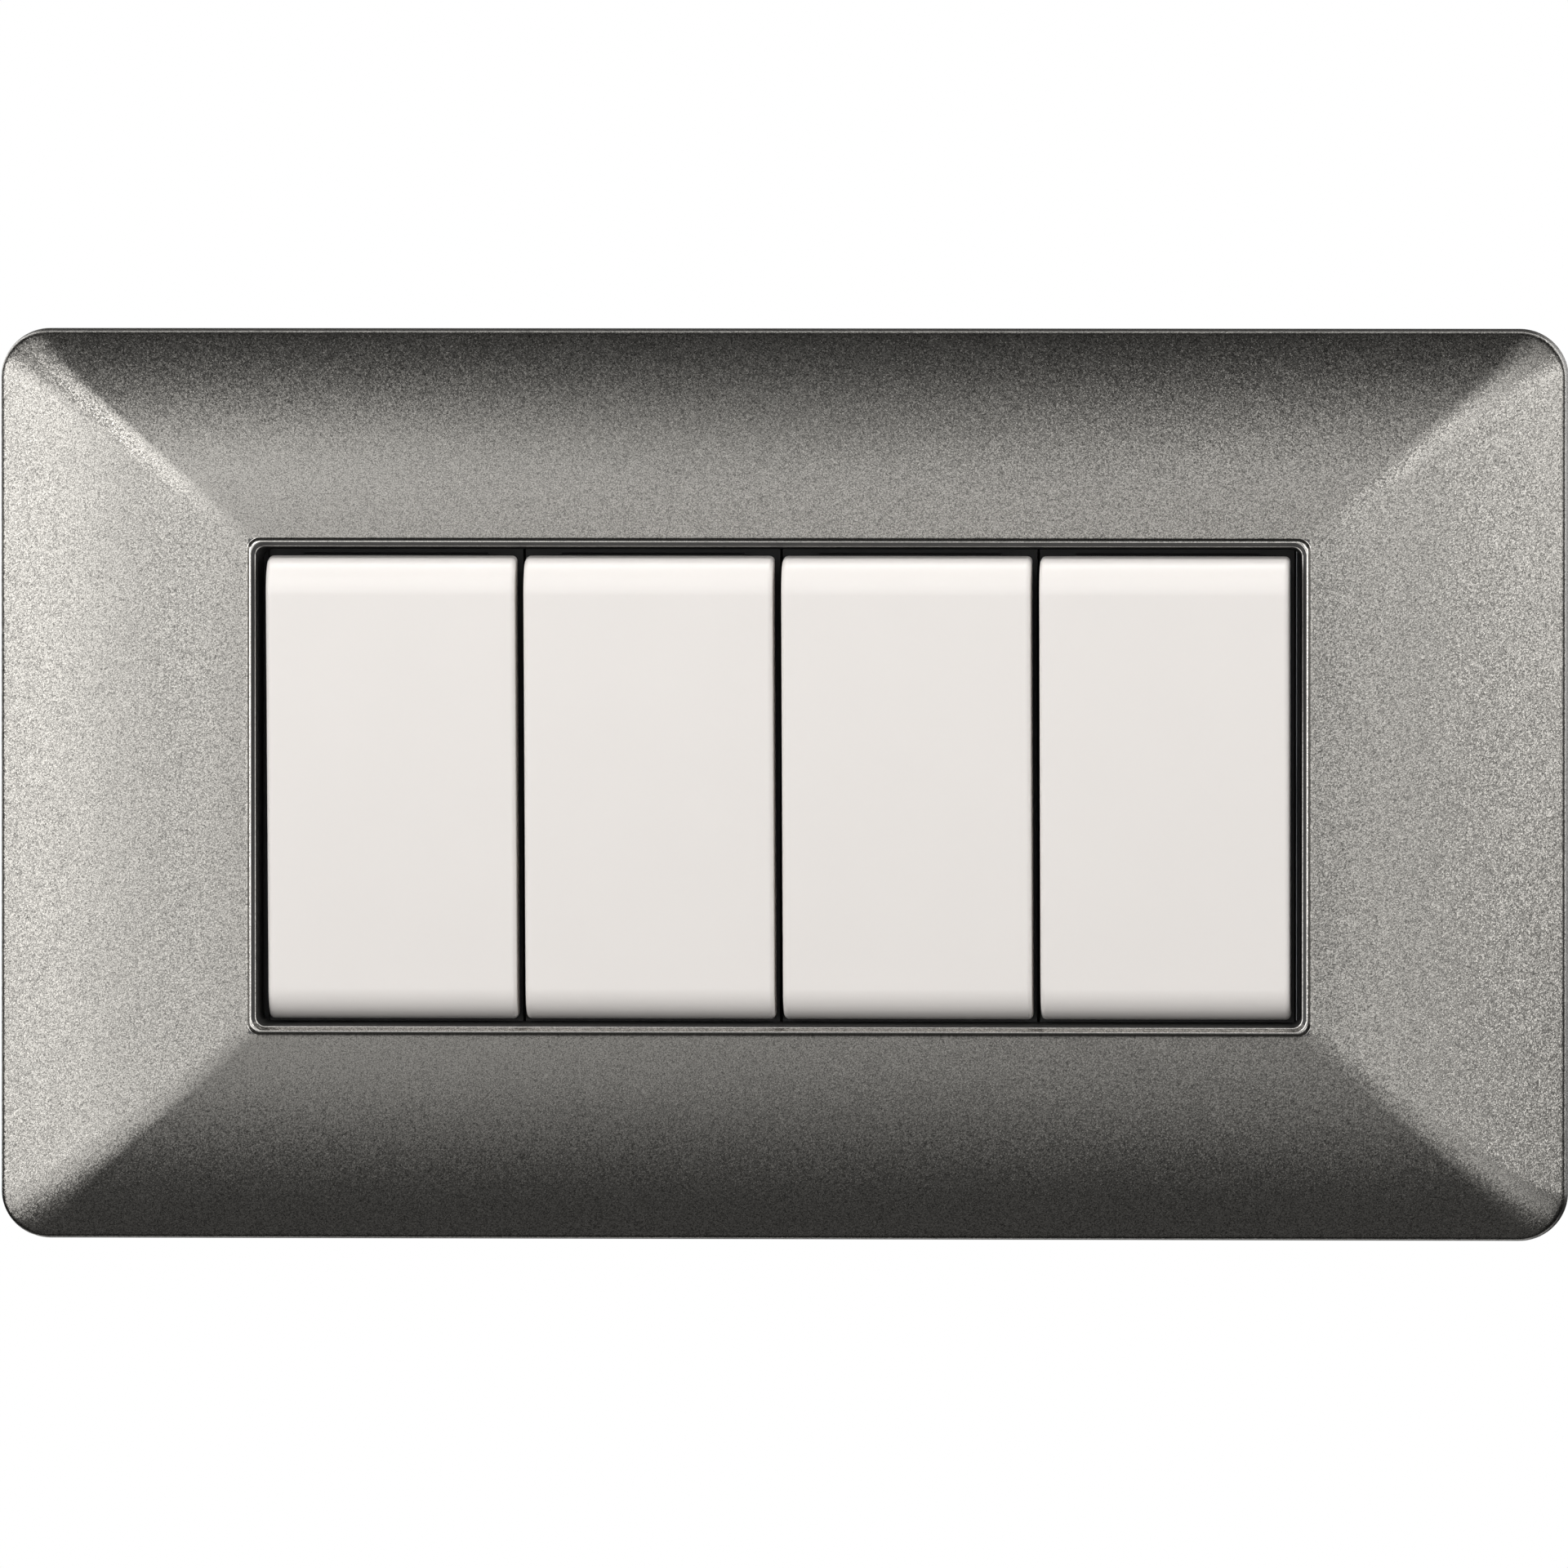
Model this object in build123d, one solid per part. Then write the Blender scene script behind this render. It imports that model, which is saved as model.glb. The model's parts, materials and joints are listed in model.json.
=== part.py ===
from build123d import *
import math
import os

# Four-gang rocker switch for a wall box: trim plate, support frame and four switches.
# Lengths are millimetres, angles are degrees. Pieces are drawn face up: x runs along the row of
# switches, y up the wall and z out of the wall, with z = 0 on the wall's surface.

# Row of switches
module_count = 4
module_pitch = 22.5
module_gap = 0.2
body_height = 44.4

# Rockers
rocker_gap = 0.75
rocker_height = 40.5
rocker_face = 10.9
rocker_depth = 4.5
rocker_wall = 1.3
rocker_end_roll = 3.0
rocker_edge_break = 0.4
rocker_tilt = 5.0
rocker_rib = 1.0
rocker_rib_depth = 2.0
rocker_rib_offset = 10.5
pivot_level = 6.0
pivot_pin_radius = 1.2
pivot_clearance = 0.05
lug_length = 3.6
lug_drop = 1.7
lug_thickness = 1.8
post_thickness = 1.4
post_foot = 7.0
post_top = 4.8
post_rise = 2.2
bearing_neck = 2.0
side_clearance = 0.25
tower_width = 5.2
tower_wall = 0.85
tower_reach = 7.0
tower_roof = 2.1

# Plunger and its spring
plunger_clearance = 0.1
plunger_guide = 1.8
plunger_nose_radius = 0.8
plunger_nose_width = 2.2
plunger_pass_gap = 0.06
spring_wire = 0.5
spring_turns = 3.5
spring_sides = 5
spring_clearance = 0.1

# Carrier of the rocker
deck_thickness = 1.6
deck_seat = 1.75
deck_hole_clearance = 0.45
stop_clearance = 0.12
stop_bar = 16.0
spigot_wall = 1.0
spigot_depth = 2.0
spigot_clearance = 0.1

# Switch base
base_depth = 24.4
base_wall = 1.3
base_floor = 1.4
base_corner = 0.6
snap_reach = 0.8
snap_length = 3.0
snap_width = 8.0
snap_clearance = 0.25
partition_wall = 1.2
pillar_length = 3.4
rail_inset = 0.3

# Contacts
fulcrum_level = -6.0
contact_tilt = 10.0
blade_thickness = 0.8
blade_width = 5.0
blade_upper_reach = 6.5
blade_lower_reach = 10.4
knuckle_radius = 1.0
knuckle_clearance = 0.08
blade_offset = 0.7
tip_width = 3.0
tip_length = 2.6
tip_height = 0.7
tip_place = 8.7
closed_gap = 0.08

# Terminals
strip_thickness = 0.8
strip_width = 7.0
cradle_floor = 0.5
cradle_half_length = 1.9
strip_drop = 12.9
terminal_thickness = 1.0
terminal_half_width = 8.4
terminal_end_gap = 0.7
clamp_thickness = 1.2
clamp_half_width = 5.6
clamp_length = 6.2
wire_space = 2.8
window_margin = 0.2
terminal_screw_radius = 1.5
terminal_screw_tip = 1.5
terminal_head_radius = 2.6
terminal_head_height = 1.8
terminal_head_recess = 0.7
screw_clearance = 0.05
fork_clearance = 0.2
access_clearance = 0.3

# Support frame
frame_side = 15.5
frame_end = 11.3
frame_corner = 3.0
frame_thickness = 2.4
frame_rib_width = 1.4
frame_rib_height = 0.8
aperture_clearance = 0.25
aperture_side_clearance = 0.1
fixing_offset = 9.0
slot_length = 9.0
slot_width = 4.4
window_length = 11.0
window_height = 3.2

# Fixing screws
fixing_screw_radius = 1.75
fixing_neck_radius = 1.55
fixing_screw_length = 20.0
fixing_head_radius = 3.4
fixing_head_height = 1.9

# Trim plate
plate_cover_side = 8.2
plate_cover_end = 6.4
plate_corner = 4.3
edge_height = 3.0
edge_draft = 0.2
face_rise = 6.3
face_crown = 1.71
face_bands = 5
hollow_bands = 3
plate_wall = 1.8
rim_height = 0.45
rim_flank = 0.17
rim_land = 0.06
rim_bevel = 0.42
rim_corner = 1.1
opening_draft = 0.3
opening_corner = 0.85
opening_gap_side = 0.775
opening_gap_end = 0.4
skirt_wall = 1.6
skirt_clearance = 0.3
plate_rib = 1.0
side_rib_offset = 10.0
rib_clearance = 0.4

# Snap between the plate and the frame
hook_spacing = 72.0
hook_width = 7.0
hook_thickness = 1.3
hook_barb = 0.9
hook_barb_height = 0.8
hook_tip = 0.4
catch_reach = 1.0
catch_thickness = 1.0
hook_clearance = 0.2

# Levels and sizes worked out from the driving dimensions
module_width = module_pitch - module_gap
row_width = module_count * module_pitch
module_places = [module_pitch * (i - (module_count - 1) / 2) for i in range(module_count)]
rocker_width = module_pitch - rocker_gap
rocker_bottom = rocker_face - rocker_depth
rocker_ceiling = rocker_face - rocker_wall
post_inner = rocker_width / 2 - rocker_wall - side_clearance - post_thickness
lug_outer = post_inner - side_clearance
bore_radius = pivot_pin_radius + pivot_clearance
tower_end = pivot_level - tower_reach
tower_bore = tower_width - 2 * tower_wall
tower_bore_end = rocker_face - tower_roof
deck_top = frame_thickness + deck_thickness
frame_width = row_width + 2 * frame_side
frame_height = body_height + 2 * frame_end
fixing_spacing = row_width + 2 * fixing_offset
aperture_width = row_width - module_gap + 2 * aperture_side_clearance
aperture_height = body_height + 2 * aperture_clearance
deck_height = aperture_height + 2 * deck_seat
base_back = frame_thickness - base_depth
base_floor_level = base_back + base_floor
inner_half_width = module_width / 2 - base_wall
inner_half_height = body_height / 2 - base_wall
blade_front = fulcrum_level + blade_offset + blade_thickness
plunger_tip = blade_front + plunger_pass_gap
plunger_width = tower_bore - 2 * plunger_clearance
plunger_top = tower_end + plunger_guide
common_level = fulcrum_level - knuckle_radius - knuckle_clearance - cradle_floor - strip_thickness / 2
clamp_under = base_back + terminal_head_recess + terminal_head_height
clamp_top = clamp_under + clamp_thickness
terminal_under = clamp_top + wire_space
terminal_top = terminal_under + terminal_thickness
terminal_start = strip_drop - strip_thickness / 2
terminal_end = inner_half_height - terminal_end_gap
terminal_centre = (strip_drop + strip_thickness / 2 + terminal_end) / 2
partition_place = strip_drop - strip_thickness / 2 - partition_wall
opening_width = row_width - rocker_gap + 2 * opening_gap_side
opening_height = rocker_height + 2 * opening_gap_end
edge_step = 2 * opening_draft
land_step = edge_step + 2 * rim_bevel
crest_step = land_step + 2 * rim_land
foot_step = crest_step + 2 * rim_flank
plate_width = frame_width + 2 * plate_cover_side
plate_height = frame_height + 2 * plate_cover_end
foot_level = edge_height + face_rise
crest_level = foot_level + rim_height
skirt_end = deck_top + skirt_clearance
stop_place = rocker_height / 2 - rocker_wall / 2
catch_edge = frame_height / 2 + catch_reach
hook_inner = catch_edge + hook_clearance


def span_box(x, y, z):
    """A box between pairs of limits on each axis."""
    centre = ((x[0] + x[1]) / 2, (y[0] + y[1]) / 2, (z[0] + z[1]) / 2)
    return Pos(*centre) * Box(x[1] - x[0], y[1] - y[0], z[1] - z[0])


def slab(width, height, low, high, corner):
    """A rounded rectangle centred on z, raised from one level to another."""
    return extrude(Pos(0, 0, low) * RectangleRounded(width, height, corner), high - low)


def post(radius, low, high, x=0, y=0):
    """A round post along z between two levels."""
    return Pos(x, y, (low + high) / 2) * Cylinder(radius, high - low)


def cross_pin(radius, x_low, x_high, level, y=0):
    """A round pin along x between two places."""
    return Pos((x_low + x_high) / 2, y, level) * Rot(Y=90) * Cylinder(radius, x_high - x_low)


def half_pin(radius, x_low, x_high, level):
    """A pin along x with its front half cut away."""
    front = span_box((x_low, x_high), (-radius, radius), (level, level + radius))
    return cross_pin(radius, x_low, x_high, level) - front


def side_profile(points, x_low, x_high):
    """A closed outline of (y, z) points, drawn out along x."""
    outline = make_face(Plane.YZ * Polyline(*points, close=True))
    return extrude(Pos(x_low, 0, 0) * outline, x_high - x_low, dir=(1, 0, 0))


def square_post(width, low, high):
    """A square post along z between two levels."""
    half = width / 2
    return span_box((-half, half), (-half, half), (low, high))


def both_sides(piece):
    """A piece and its mirror image across the plane x = 0."""
    return piece + mirror(piece, about=Plane.YZ)


def both_ends(piece):
    """A piece and its mirror image across the plane y = 0."""
    return piece + mirror(piece, about=Plane.XZ)


def turned(piece, degrees, level):
    """A piece turned about the line along x at a level."""
    return Pos(0, 0, level) * Rot(X=degrees) * Pos(0, 0, -level) * piece


def stack(outlines):
    """A loft through rounded rectangles given as (width, height, corner, level)."""
    return loft([Pos(0, 0, z) * RectangleRounded(w, h, r) for w, h, r, z in outlines], ruled=True)


# Trim plate

def face_outline(t, inset, drop, corner):
    """The plate's outline at a share t of the way from its edge to the rim's foot."""
    width = plate_width - 2 * edge_draft
    height = plate_height - 2 * edge_draft
    width += t * (opening_width + foot_step - width)
    height += t * (opening_height + foot_step - height)
    level = edge_height + face_rise * (face_crown * t - (face_crown - 1) * t * t)
    return width - 2 * inset, height - 2 * inset, corner, level - drop


def opening_outline(step, corner, level):
    """An outline concentric with the opening, wider and higher by a step."""
    return opening_width + step, opening_height + step, corner, level


def roof_outline(side):
    """A closed outline, the same left and right, from one side's (half width, level) points."""
    foot = [(side[0][0], -1)]
    right = foot + side
    return right + [(-half, level) for half, level in reversed(right)]


def plate_body():
    """The plate's outer form as a full solid: edge, four bulged faces and rim."""
    shares = [i / face_bands for i in range(face_bands + 1)]
    edge_corner = plate_corner - edge_draft
    edge_top = face_outline(0, 0, 0, edge_corner)
    edge = stack([(plate_width, plate_height, plate_corner, 0), edge_top])
    corners = [edge_corner + t * (rim_corner - edge_corner) for t in shares]
    face = stack([face_outline(t, 0, 0, c) for t, c in zip(shares, corners)])
    rim = stack([opening_outline(foot_step, rim_corner, foot_level),
                 opening_outline(crest_step, rim_corner - rim_flank, crest_level)])
    return edge + face + rim


def plate_hollow():
    """The space behind the plate's wall: two roof-shaped prisms that cross."""
    levels = [face_outline(i / hollow_bands, plate_wall, plate_wall, 0) for i in range(hollow_bands + 1)]
    along_x = roof_outline([(height / 2, level) for _, height, _, level in levels])
    along_y = roof_outline([(width / 2, level) for width, _, _, level in levels])
    reach = plate_width / 2
    across = Rot(Z=90) * side_profile(along_y, -reach, reach)
    return side_profile(along_x, -reach, reach) & across


def plate_opening():
    """The cutter for the bevel inside the rim and the opening's drafted wall."""
    edge_level = crest_level - rim_bevel
    bevel = stack([opening_outline(land_step, opening_corner + rim_bevel / 2, crest_level),
                   opening_outline(edge_step, opening_corner, edge_level)])
    wall = stack([opening_outline(edge_step, opening_corner, edge_level),
                  opening_outline(0, opening_corner, skirt_end)])
    below = slab(opening_width, opening_height, 0, skirt_end, opening_corner)
    return bevel + wall + below


def plate_ribs():
    """Stiffening ribs from the skirt to the plate's edge."""
    bottom = deck_top + rib_clearance
    half = plate_rib / 2
    ends = [span_box((x - half, x + half), (opening_height / 2 + skirt_wall / 2, plate_height / 2),
                     (bottom, crest_level)) for x in module_places]
    side = span_box((opening_width / 2 + skirt_wall / 2, plate_width / 2),
                    (side_rib_offset - half, side_rib_offset + half), (bottom, crest_level))
    return Part() + [both_ends(rib) for rib in ends] + both_sides(both_ends(side))


def plate_hooks():
    """Snap hooks that reach behind the frame's catches."""
    catch_under = frame_thickness - catch_thickness
    barb_top = catch_under - hook_clearance
    back = hook_inner + hook_thickness
    outline = [(hook_inner, foot_level), (hook_inner, barb_top), (hook_inner - hook_barb, barb_top),
               (hook_inner, barb_top - hook_barb_height), (hook_inner, hook_tip - hook_clearance),
               (back, hook_tip - hook_clearance), (back, foot_level)]
    x = hook_spacing / 2 - hook_width / 2
    return both_ends(both_sides(side_profile(outline, x, x + hook_width)))


def trim_plate():
    body = plate_body()
    skirt_x = opening_width / 2 + skirt_wall
    skirt_y = opening_height / 2 + skirt_wall
    skirt = span_box((-skirt_x, skirt_x), (-skirt_y, skirt_y), (skirt_end, foot_level))
    inner = (skirt + plate_ribs() + plate_hooks()) & body
    return body - plate_hollow() + inner - plate_opening()


# Support frame

def support_frame():
    """The frame on the wall, with its aperture, fixing slots and the plate's catches."""
    rib_top = frame_thickness + frame_rib_height
    frame = span_box((-frame_width / 2, frame_width / 2), (-frame_height / 2, frame_height / 2), (0, rib_top))
    frame = chamfer(frame.edges().filter_by(Axis.Z), frame_corner)
    inner_x = frame_width / 2 - frame_rib_width
    inner_y = frame_height / 2 - frame_rib_width
    tray = span_box((-inner_x, inner_x), (-inner_y, inner_y), (frame_thickness, rib_top))
    frame -= chamfer(tray.edges().filter_by(Axis.Z), frame_corner)
    x = hook_spacing / 2 - hook_width / 2 - hook_clearance
    catch = span_box((x, x + hook_width + 2 * hook_clearance), (frame_height / 2 - frame_rib_width, catch_edge),
                     (frame_thickness - catch_thickness, frame_thickness))
    band = (deck_height / 2 + frame_height / 2 - frame_rib_width) / 2
    window = span_box((-window_length / 2, window_length / 2), (band - window_height / 2, band + window_height / 2),
                      (0, frame_thickness))
    slot = extrude(Pos(fixing_spacing / 2, 0, 0) * SlotOverall(slot_length, slot_width), frame_thickness)
    aperture = span_box((-aperture_width / 2, aperture_width / 2), (-aperture_height / 2, aperture_height / 2),
                        (0, frame_thickness))
    frame += both_ends(both_sides(catch))
    return frame - aperture - both_sides(slot) - [both_ends(Pos(x, 0, 0) * window) for x in module_places]


def frame_screw():
    """A round-head screw: head on the frame, plain neck in the slot, thread behind the wall."""
    head = post(fixing_head_radius, frame_thickness, frame_thickness + fixing_head_height)
    neck = post(fixing_neck_radius, 0, frame_thickness)
    return head + neck + post(fixing_screw_radius, -fixing_screw_length, 0)


def frame_screws():
    return [Pos(side * fixing_spacing / 2, 0, 0) * frame_screw() for side in (-1, 1)]


# Rocker, plunger and spring, drawn level

def rocker():
    """A hollow rocker with rolled ends, two pivot lugs with pins and the plunger's tower."""
    half_width = rocker_width / 2
    half_height = rocker_height / 2
    cap = span_box((-half_width, half_width), (-half_height, half_height), (rocker_bottom, rocker_face))
    cap = fillet(cap.edges().filter_by(Axis.X).group_by(Axis.Z)[-1], rocker_end_roll)
    rims = [edge for side in cap.faces().filter_by(Axis.X) for edge in side.edges().sort_by(Axis.Z)[1:]]
    cap = chamfer(rims, rocker_edge_break)
    inner_x = half_width - rocker_wall
    inner_y = half_height - rocker_wall
    hollow = span_box((-inner_x, inner_x), (-inner_y, inner_y), (rocker_bottom, rocker_ceiling))
    hollow = chamfer(hollow.edges().filter_by(Axis.X).group_by(Axis.Z)[-1], rocker_end_roll - rocker_wall)
    rib = span_box((-inner_x, inner_x), (rocker_rib_offset - rocker_rib / 2, rocker_rib_offset + rocker_rib / 2),
                   (rocker_ceiling - rocker_rib_depth, rocker_ceiling))
    lug = span_box((lug_outer - lug_thickness, lug_outer), (-lug_length / 2, lug_length / 2),
                   (pivot_level - lug_drop, rocker_ceiling))
    lug += half_pin(pivot_pin_radius, lug_outer, post_inner + post_thickness, pivot_level)
    tower = square_post(tower_width, tower_end, rocker_ceiling)
    bore = square_post(tower_bore, tower_end, tower_bore_end)
    return cap - hollow + both_ends(rib) + both_sides(lug) + tower - bore


def plunger():
    """A square plunger with a half-round nose that runs in the rocker's tower."""
    nose_centre = plunger_tip + plunger_nose_radius
    half = plunger_nose_width / 2
    nose = span_box((-half, half), (-plunger_nose_radius, plunger_nose_radius), (nose_centre, tower_end))
    nose += cross_pin(plunger_nose_radius, -half, half, nose_centre)
    return square_post(plunger_width, tower_end, plunger_top) + nose


def plunger_spring():
    """A coil spring between the plunger and the end of the tower's bore."""
    low = plunger_top + spring_clearance + spring_wire / 2
    rise = tower_bore_end - spring_clearance - spring_wire / 2 - low
    radius = plunger_width / 2 - spring_wire
    steps = round(spring_turns * spring_sides)
    turn = 2 * math.pi / spring_sides
    coil = Polyline(*[(radius * math.cos(i * turn), radius * math.sin(i * turn), low + rise * i / steps)
                      for i in range(steps + 1)])
    wire = Plane(origin=coil @ 0, z_dir=coil % 0) * Rectangle(spring_wire, spring_wire)
    return sweep(wire, path=coil, transition=Transition.RIGHT)


# Switch carrier and base

def bearing_post():
    """One upright with the open bearing that a pivot pin of the rocker snaps into."""
    top = pivot_level + post_rise
    outline = [(-post_foot / 2, frame_thickness), (post_foot / 2, frame_thickness), (post_foot / 2, deck_top),
               (post_top / 2, top), (-post_top / 2, top), (-post_foot / 2, deck_top)]
    upright = side_profile(outline, post_inner, post_inner + post_thickness)
    mouth = span_box((post_inner, post_inner + post_thickness), (-bearing_neck / 2, bearing_neck / 2),
                     (pivot_level, top))
    return upright - cross_pin(bore_radius, post_inner, post_inner + post_thickness, pivot_level) - mouth


def switch_carrier():
    """The dark front of a switch: deck, bearing posts, end stops and the spigot in the base."""
    deck = span_box((-module_width / 2, module_width / 2), (-deck_height / 2, deck_height / 2),
                    (frame_thickness, deck_top))
    tilt = math.radians(rocker_tilt)
    wall_foot = pivot_level + (rocker_bottom - pivot_level) * math.cos(tilt)
    stop_top = wall_foot - rocker_height / 2 * math.sin(tilt) - stop_clearance
    stop = span_box((-stop_bar / 2, stop_bar / 2), (stop_place - rocker_wall / 2, stop_place + rocker_wall / 2),
                    (frame_thickness, stop_top))
    outer_x = inner_half_width - spigot_clearance
    outer_y = inner_half_height - spigot_clearance
    low = frame_thickness - spigot_depth
    spigot = span_box((-outer_x, outer_x), (-outer_y, outer_y), (low, frame_thickness))
    spigot -= span_box((spigot_wall - outer_x, outer_x - spigot_wall), (spigot_wall - outer_y, outer_y - spigot_wall),
                       (low, frame_thickness))
    swing = tower_reach * math.sin(tilt)
    hole_x = tower_width / 2 + deck_hole_clearance
    hole_y = hole_x + swing
    hole = span_box((-hole_x, hole_x), (-hole_y, hole_y), (frame_thickness, deck_top))
    return deck + both_ends(stop) + spigot + both_sides(bearing_post()) - hole


def switch_base():
    """The open-fronted base: partitions, strip pillars, terminal rails, wire windows and snap wedges."""
    body = span_box((-module_width / 2, module_width / 2), (-body_height / 2, body_height / 2),
                    (base_back, frame_thickness))
    body = chamfer(body.edges().filter_by(Axis.Z), base_corner)
    body -= span_box((-inner_half_width, inner_half_width), (-inner_half_height, inner_half_height),
                     (base_floor_level, frame_thickness))
    half_y = body_height / 2
    wedge = side_profile([(half_y, -snap_clearance), (half_y + snap_reach, -snap_clearance),
                          (half_y, -snap_clearance - snap_length)], -snap_width / 2, snap_width / 2)
    partition = (-inner_half_width, inner_half_width)
    upper_seat = common_level - strip_thickness / 2
    lower_seat = switched_level() - strip_thickness / 2
    upper = span_box(partition, (partition_place, partition_place + partition_wall), (base_floor_level, upper_seat))
    lower = span_box(partition, (-partition_place - partition_wall, -partition_place), (base_floor_level, lower_seat))
    half_pillar = pillar_length / 2
    pillar_x = (-strip_width / 2, strip_width / 2)
    pillars = span_box(pillar_x, (-half_pillar, half_pillar), (base_floor_level, upper_seat))
    pillars += span_box(pillar_x, (-tip_place - half_pillar, half_pillar - tip_place),
                        (base_floor_level, lower_seat))
    rail = span_box((clamp_half_width + rail_inset, inner_half_width), (terminal_start, inner_half_height),
                    (base_floor_level, terminal_under))
    window = span_box((-clamp_half_width, clamp_half_width), (inner_half_height, half_y),
                      (clamp_top - window_margin, terminal_under + window_margin))
    reach = terminal_head_radius + access_clearance
    access = span_box((-reach, reach), (terminal_centre - reach, terminal_centre + reach),
                      (base_back, base_floor_level))
    body += both_ends(wedge) + upper + lower + pillars + both_ends(both_sides(rail))
    return body - both_ends(window) - both_ends(access)


# Contacts and terminals

def contact_tip(low, high):
    """A contact tip behind the blade's lower end, between two levels."""
    half = tip_length / 2
    return span_box((-tip_width / 2, tip_width / 2), (-tip_place - half, half - tip_place), (low, high))


def moving_contact():
    """The rocking blade, drawn level: a strip with its knuckle and its contact tip."""
    half = blade_width / 2
    low = fulcrum_level + blade_offset
    blade = span_box((-half, half), (-blade_lower_reach, blade_upper_reach), (low, blade_front))
    knuckle = cross_pin(knuckle_radius, -half, half, fulcrum_level)
    return blade + knuckle + contact_tip(low - tip_height, low)


def fixed_tip():
    """The fixed contact, square to the moving one when the switch is on."""
    face = fulcrum_level + blade_offset - tip_height - closed_gap
    return turned(contact_tip(face - 2 * tip_height, face), contact_tilt, fulcrum_level)


def switched_level():
    """The middle of the strip that carries the fixed contact."""
    tilt = math.radians(contact_tilt)
    face = fulcrum_level + (blade_offset - tip_height - closed_gap) * math.cos(tilt) - tip_place * math.sin(tilt)
    return face - tip_height - strip_thickness / 2


def bent_strip(start, level):
    """A strip bent down from a level to the terminal plate, with the screw's hole."""
    half = strip_thickness / 2
    outline = [(start, level - half), (start, level + half), (strip_drop + half, level + half),
               (strip_drop + half, terminal_top), (terminal_end, terminal_top), (terminal_end, terminal_under),
               (strip_drop - half, terminal_under), (strip_drop - half, level - half)]
    strip = side_profile(outline, -strip_width / 2, strip_width / 2)
    plate = span_box((-terminal_half_width, terminal_half_width), (strip_drop + half, terminal_end),
                     (terminal_under, terminal_top))
    hole = post(terminal_screw_radius + screw_clearance, terminal_under, terminal_top, y=terminal_centre)
    return strip + plate - hole


def common_terminal():
    """The strip that carries the blade in a half-round cradle."""
    cradle = span_box((-strip_width / 2, strip_width / 2), (-cradle_half_length, cradle_half_length),
                      (common_level, fulcrum_level))
    cradle -= cross_pin(knuckle_radius + knuckle_clearance, -strip_width / 2, strip_width / 2, fulcrum_level)
    return bent_strip(-cradle_half_length, common_level) + cradle


def switched_terminal():
    """The strip that carries the fixed contact, turned to the lower end."""
    strip = mirror(bent_strip(tip_place - pillar_length / 2, switched_level()), about=Plane.XZ)
    below = span_box((-strip_width, strip_width), (-body_height, 0), (base_back, switched_level()))
    return strip + (fixed_tip() - below)


def wire_clamps():
    """The two forked pressure plates that the terminal screws draw up."""
    half = clamp_length / 2
    plate = span_box((-clamp_half_width, clamp_half_width), (terminal_centre - half, terminal_centre + half),
                     (clamp_under, clamp_top))
    fork = terminal_screw_radius + fork_clearance
    plate -= span_box((-fork, fork), (terminal_centre - half, terminal_centre + fork), (clamp_under, clamp_top))
    return [plate, mirror(plate, about=Plane.XZ)]


def terminal_screws():
    """The two terminal screws, heads to the back."""
    screw = post(terminal_screw_radius, clamp_under, terminal_top + terminal_screw_tip, y=terminal_centre)
    screw += post(terminal_head_radius, clamp_under - terminal_head_height, clamp_under, y=terminal_centre)
    return [screw, mirror(screw, about=Plane.XZ)]


# Assembly at rest: every switch is off, with the upper end of its rocker standing out

def upright(piece):
    """Turns a piece drawn face up to the wall's frame: z up, the face towards -y."""
    return Rot(X=90) * piece


def write(name, pieces):
    """Writes one node from one solid, or from a list of like solids."""
    pieces = pieces if isinstance(pieces, list) else [pieces]
    solids = [solid for piece in pieces for solid in upright(piece).solids()]
    export_step(Compound(children=solids) if len(solids) > 1 else solids[0], f"parts/{name}.step")


def main():
    os.makedirs("parts", exist_ok=True)
    write("trim_plate", trim_plate())
    write("support_frame", support_frame())
    write("frame_screws", frame_screws())
    switch = {
        "rocker": turned(rocker(), rocker_tilt, pivot_level),
        "plunger": turned(plunger(), rocker_tilt, pivot_level),
        "plunger_spring": turned(plunger_spring(), rocker_tilt, pivot_level),
        "switch_carrier": switch_carrier(),
        "switch_base": switch_base(),
        "moving_contact": turned(moving_contact(), -contact_tilt, fulcrum_level),
        "common_terminal": common_terminal(),
        "switched_terminal": switched_terminal(),
        "wire_clamps": wire_clamps(),
        "terminal_screws": terminal_screws(),
    }
    for number, x in enumerate(module_places, start=1):
        for name, piece in switch.items():
            pieces = piece if isinstance(piece, list) else [piece]
            write(f"{name}_{number}", [Pos(x, 0, 0) * solid for solid in pieces])


main()
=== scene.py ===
"""Looks of a four-gang rocker switch: painted plate, white rockers, plastics, brass and steel."""
import json
import math

import bmesh
import bpy
from bpy.props import FloatProperty, FloatVectorProperty, IntProperty, PointerProperty
from mathutils import Matrix, Vector

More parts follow.
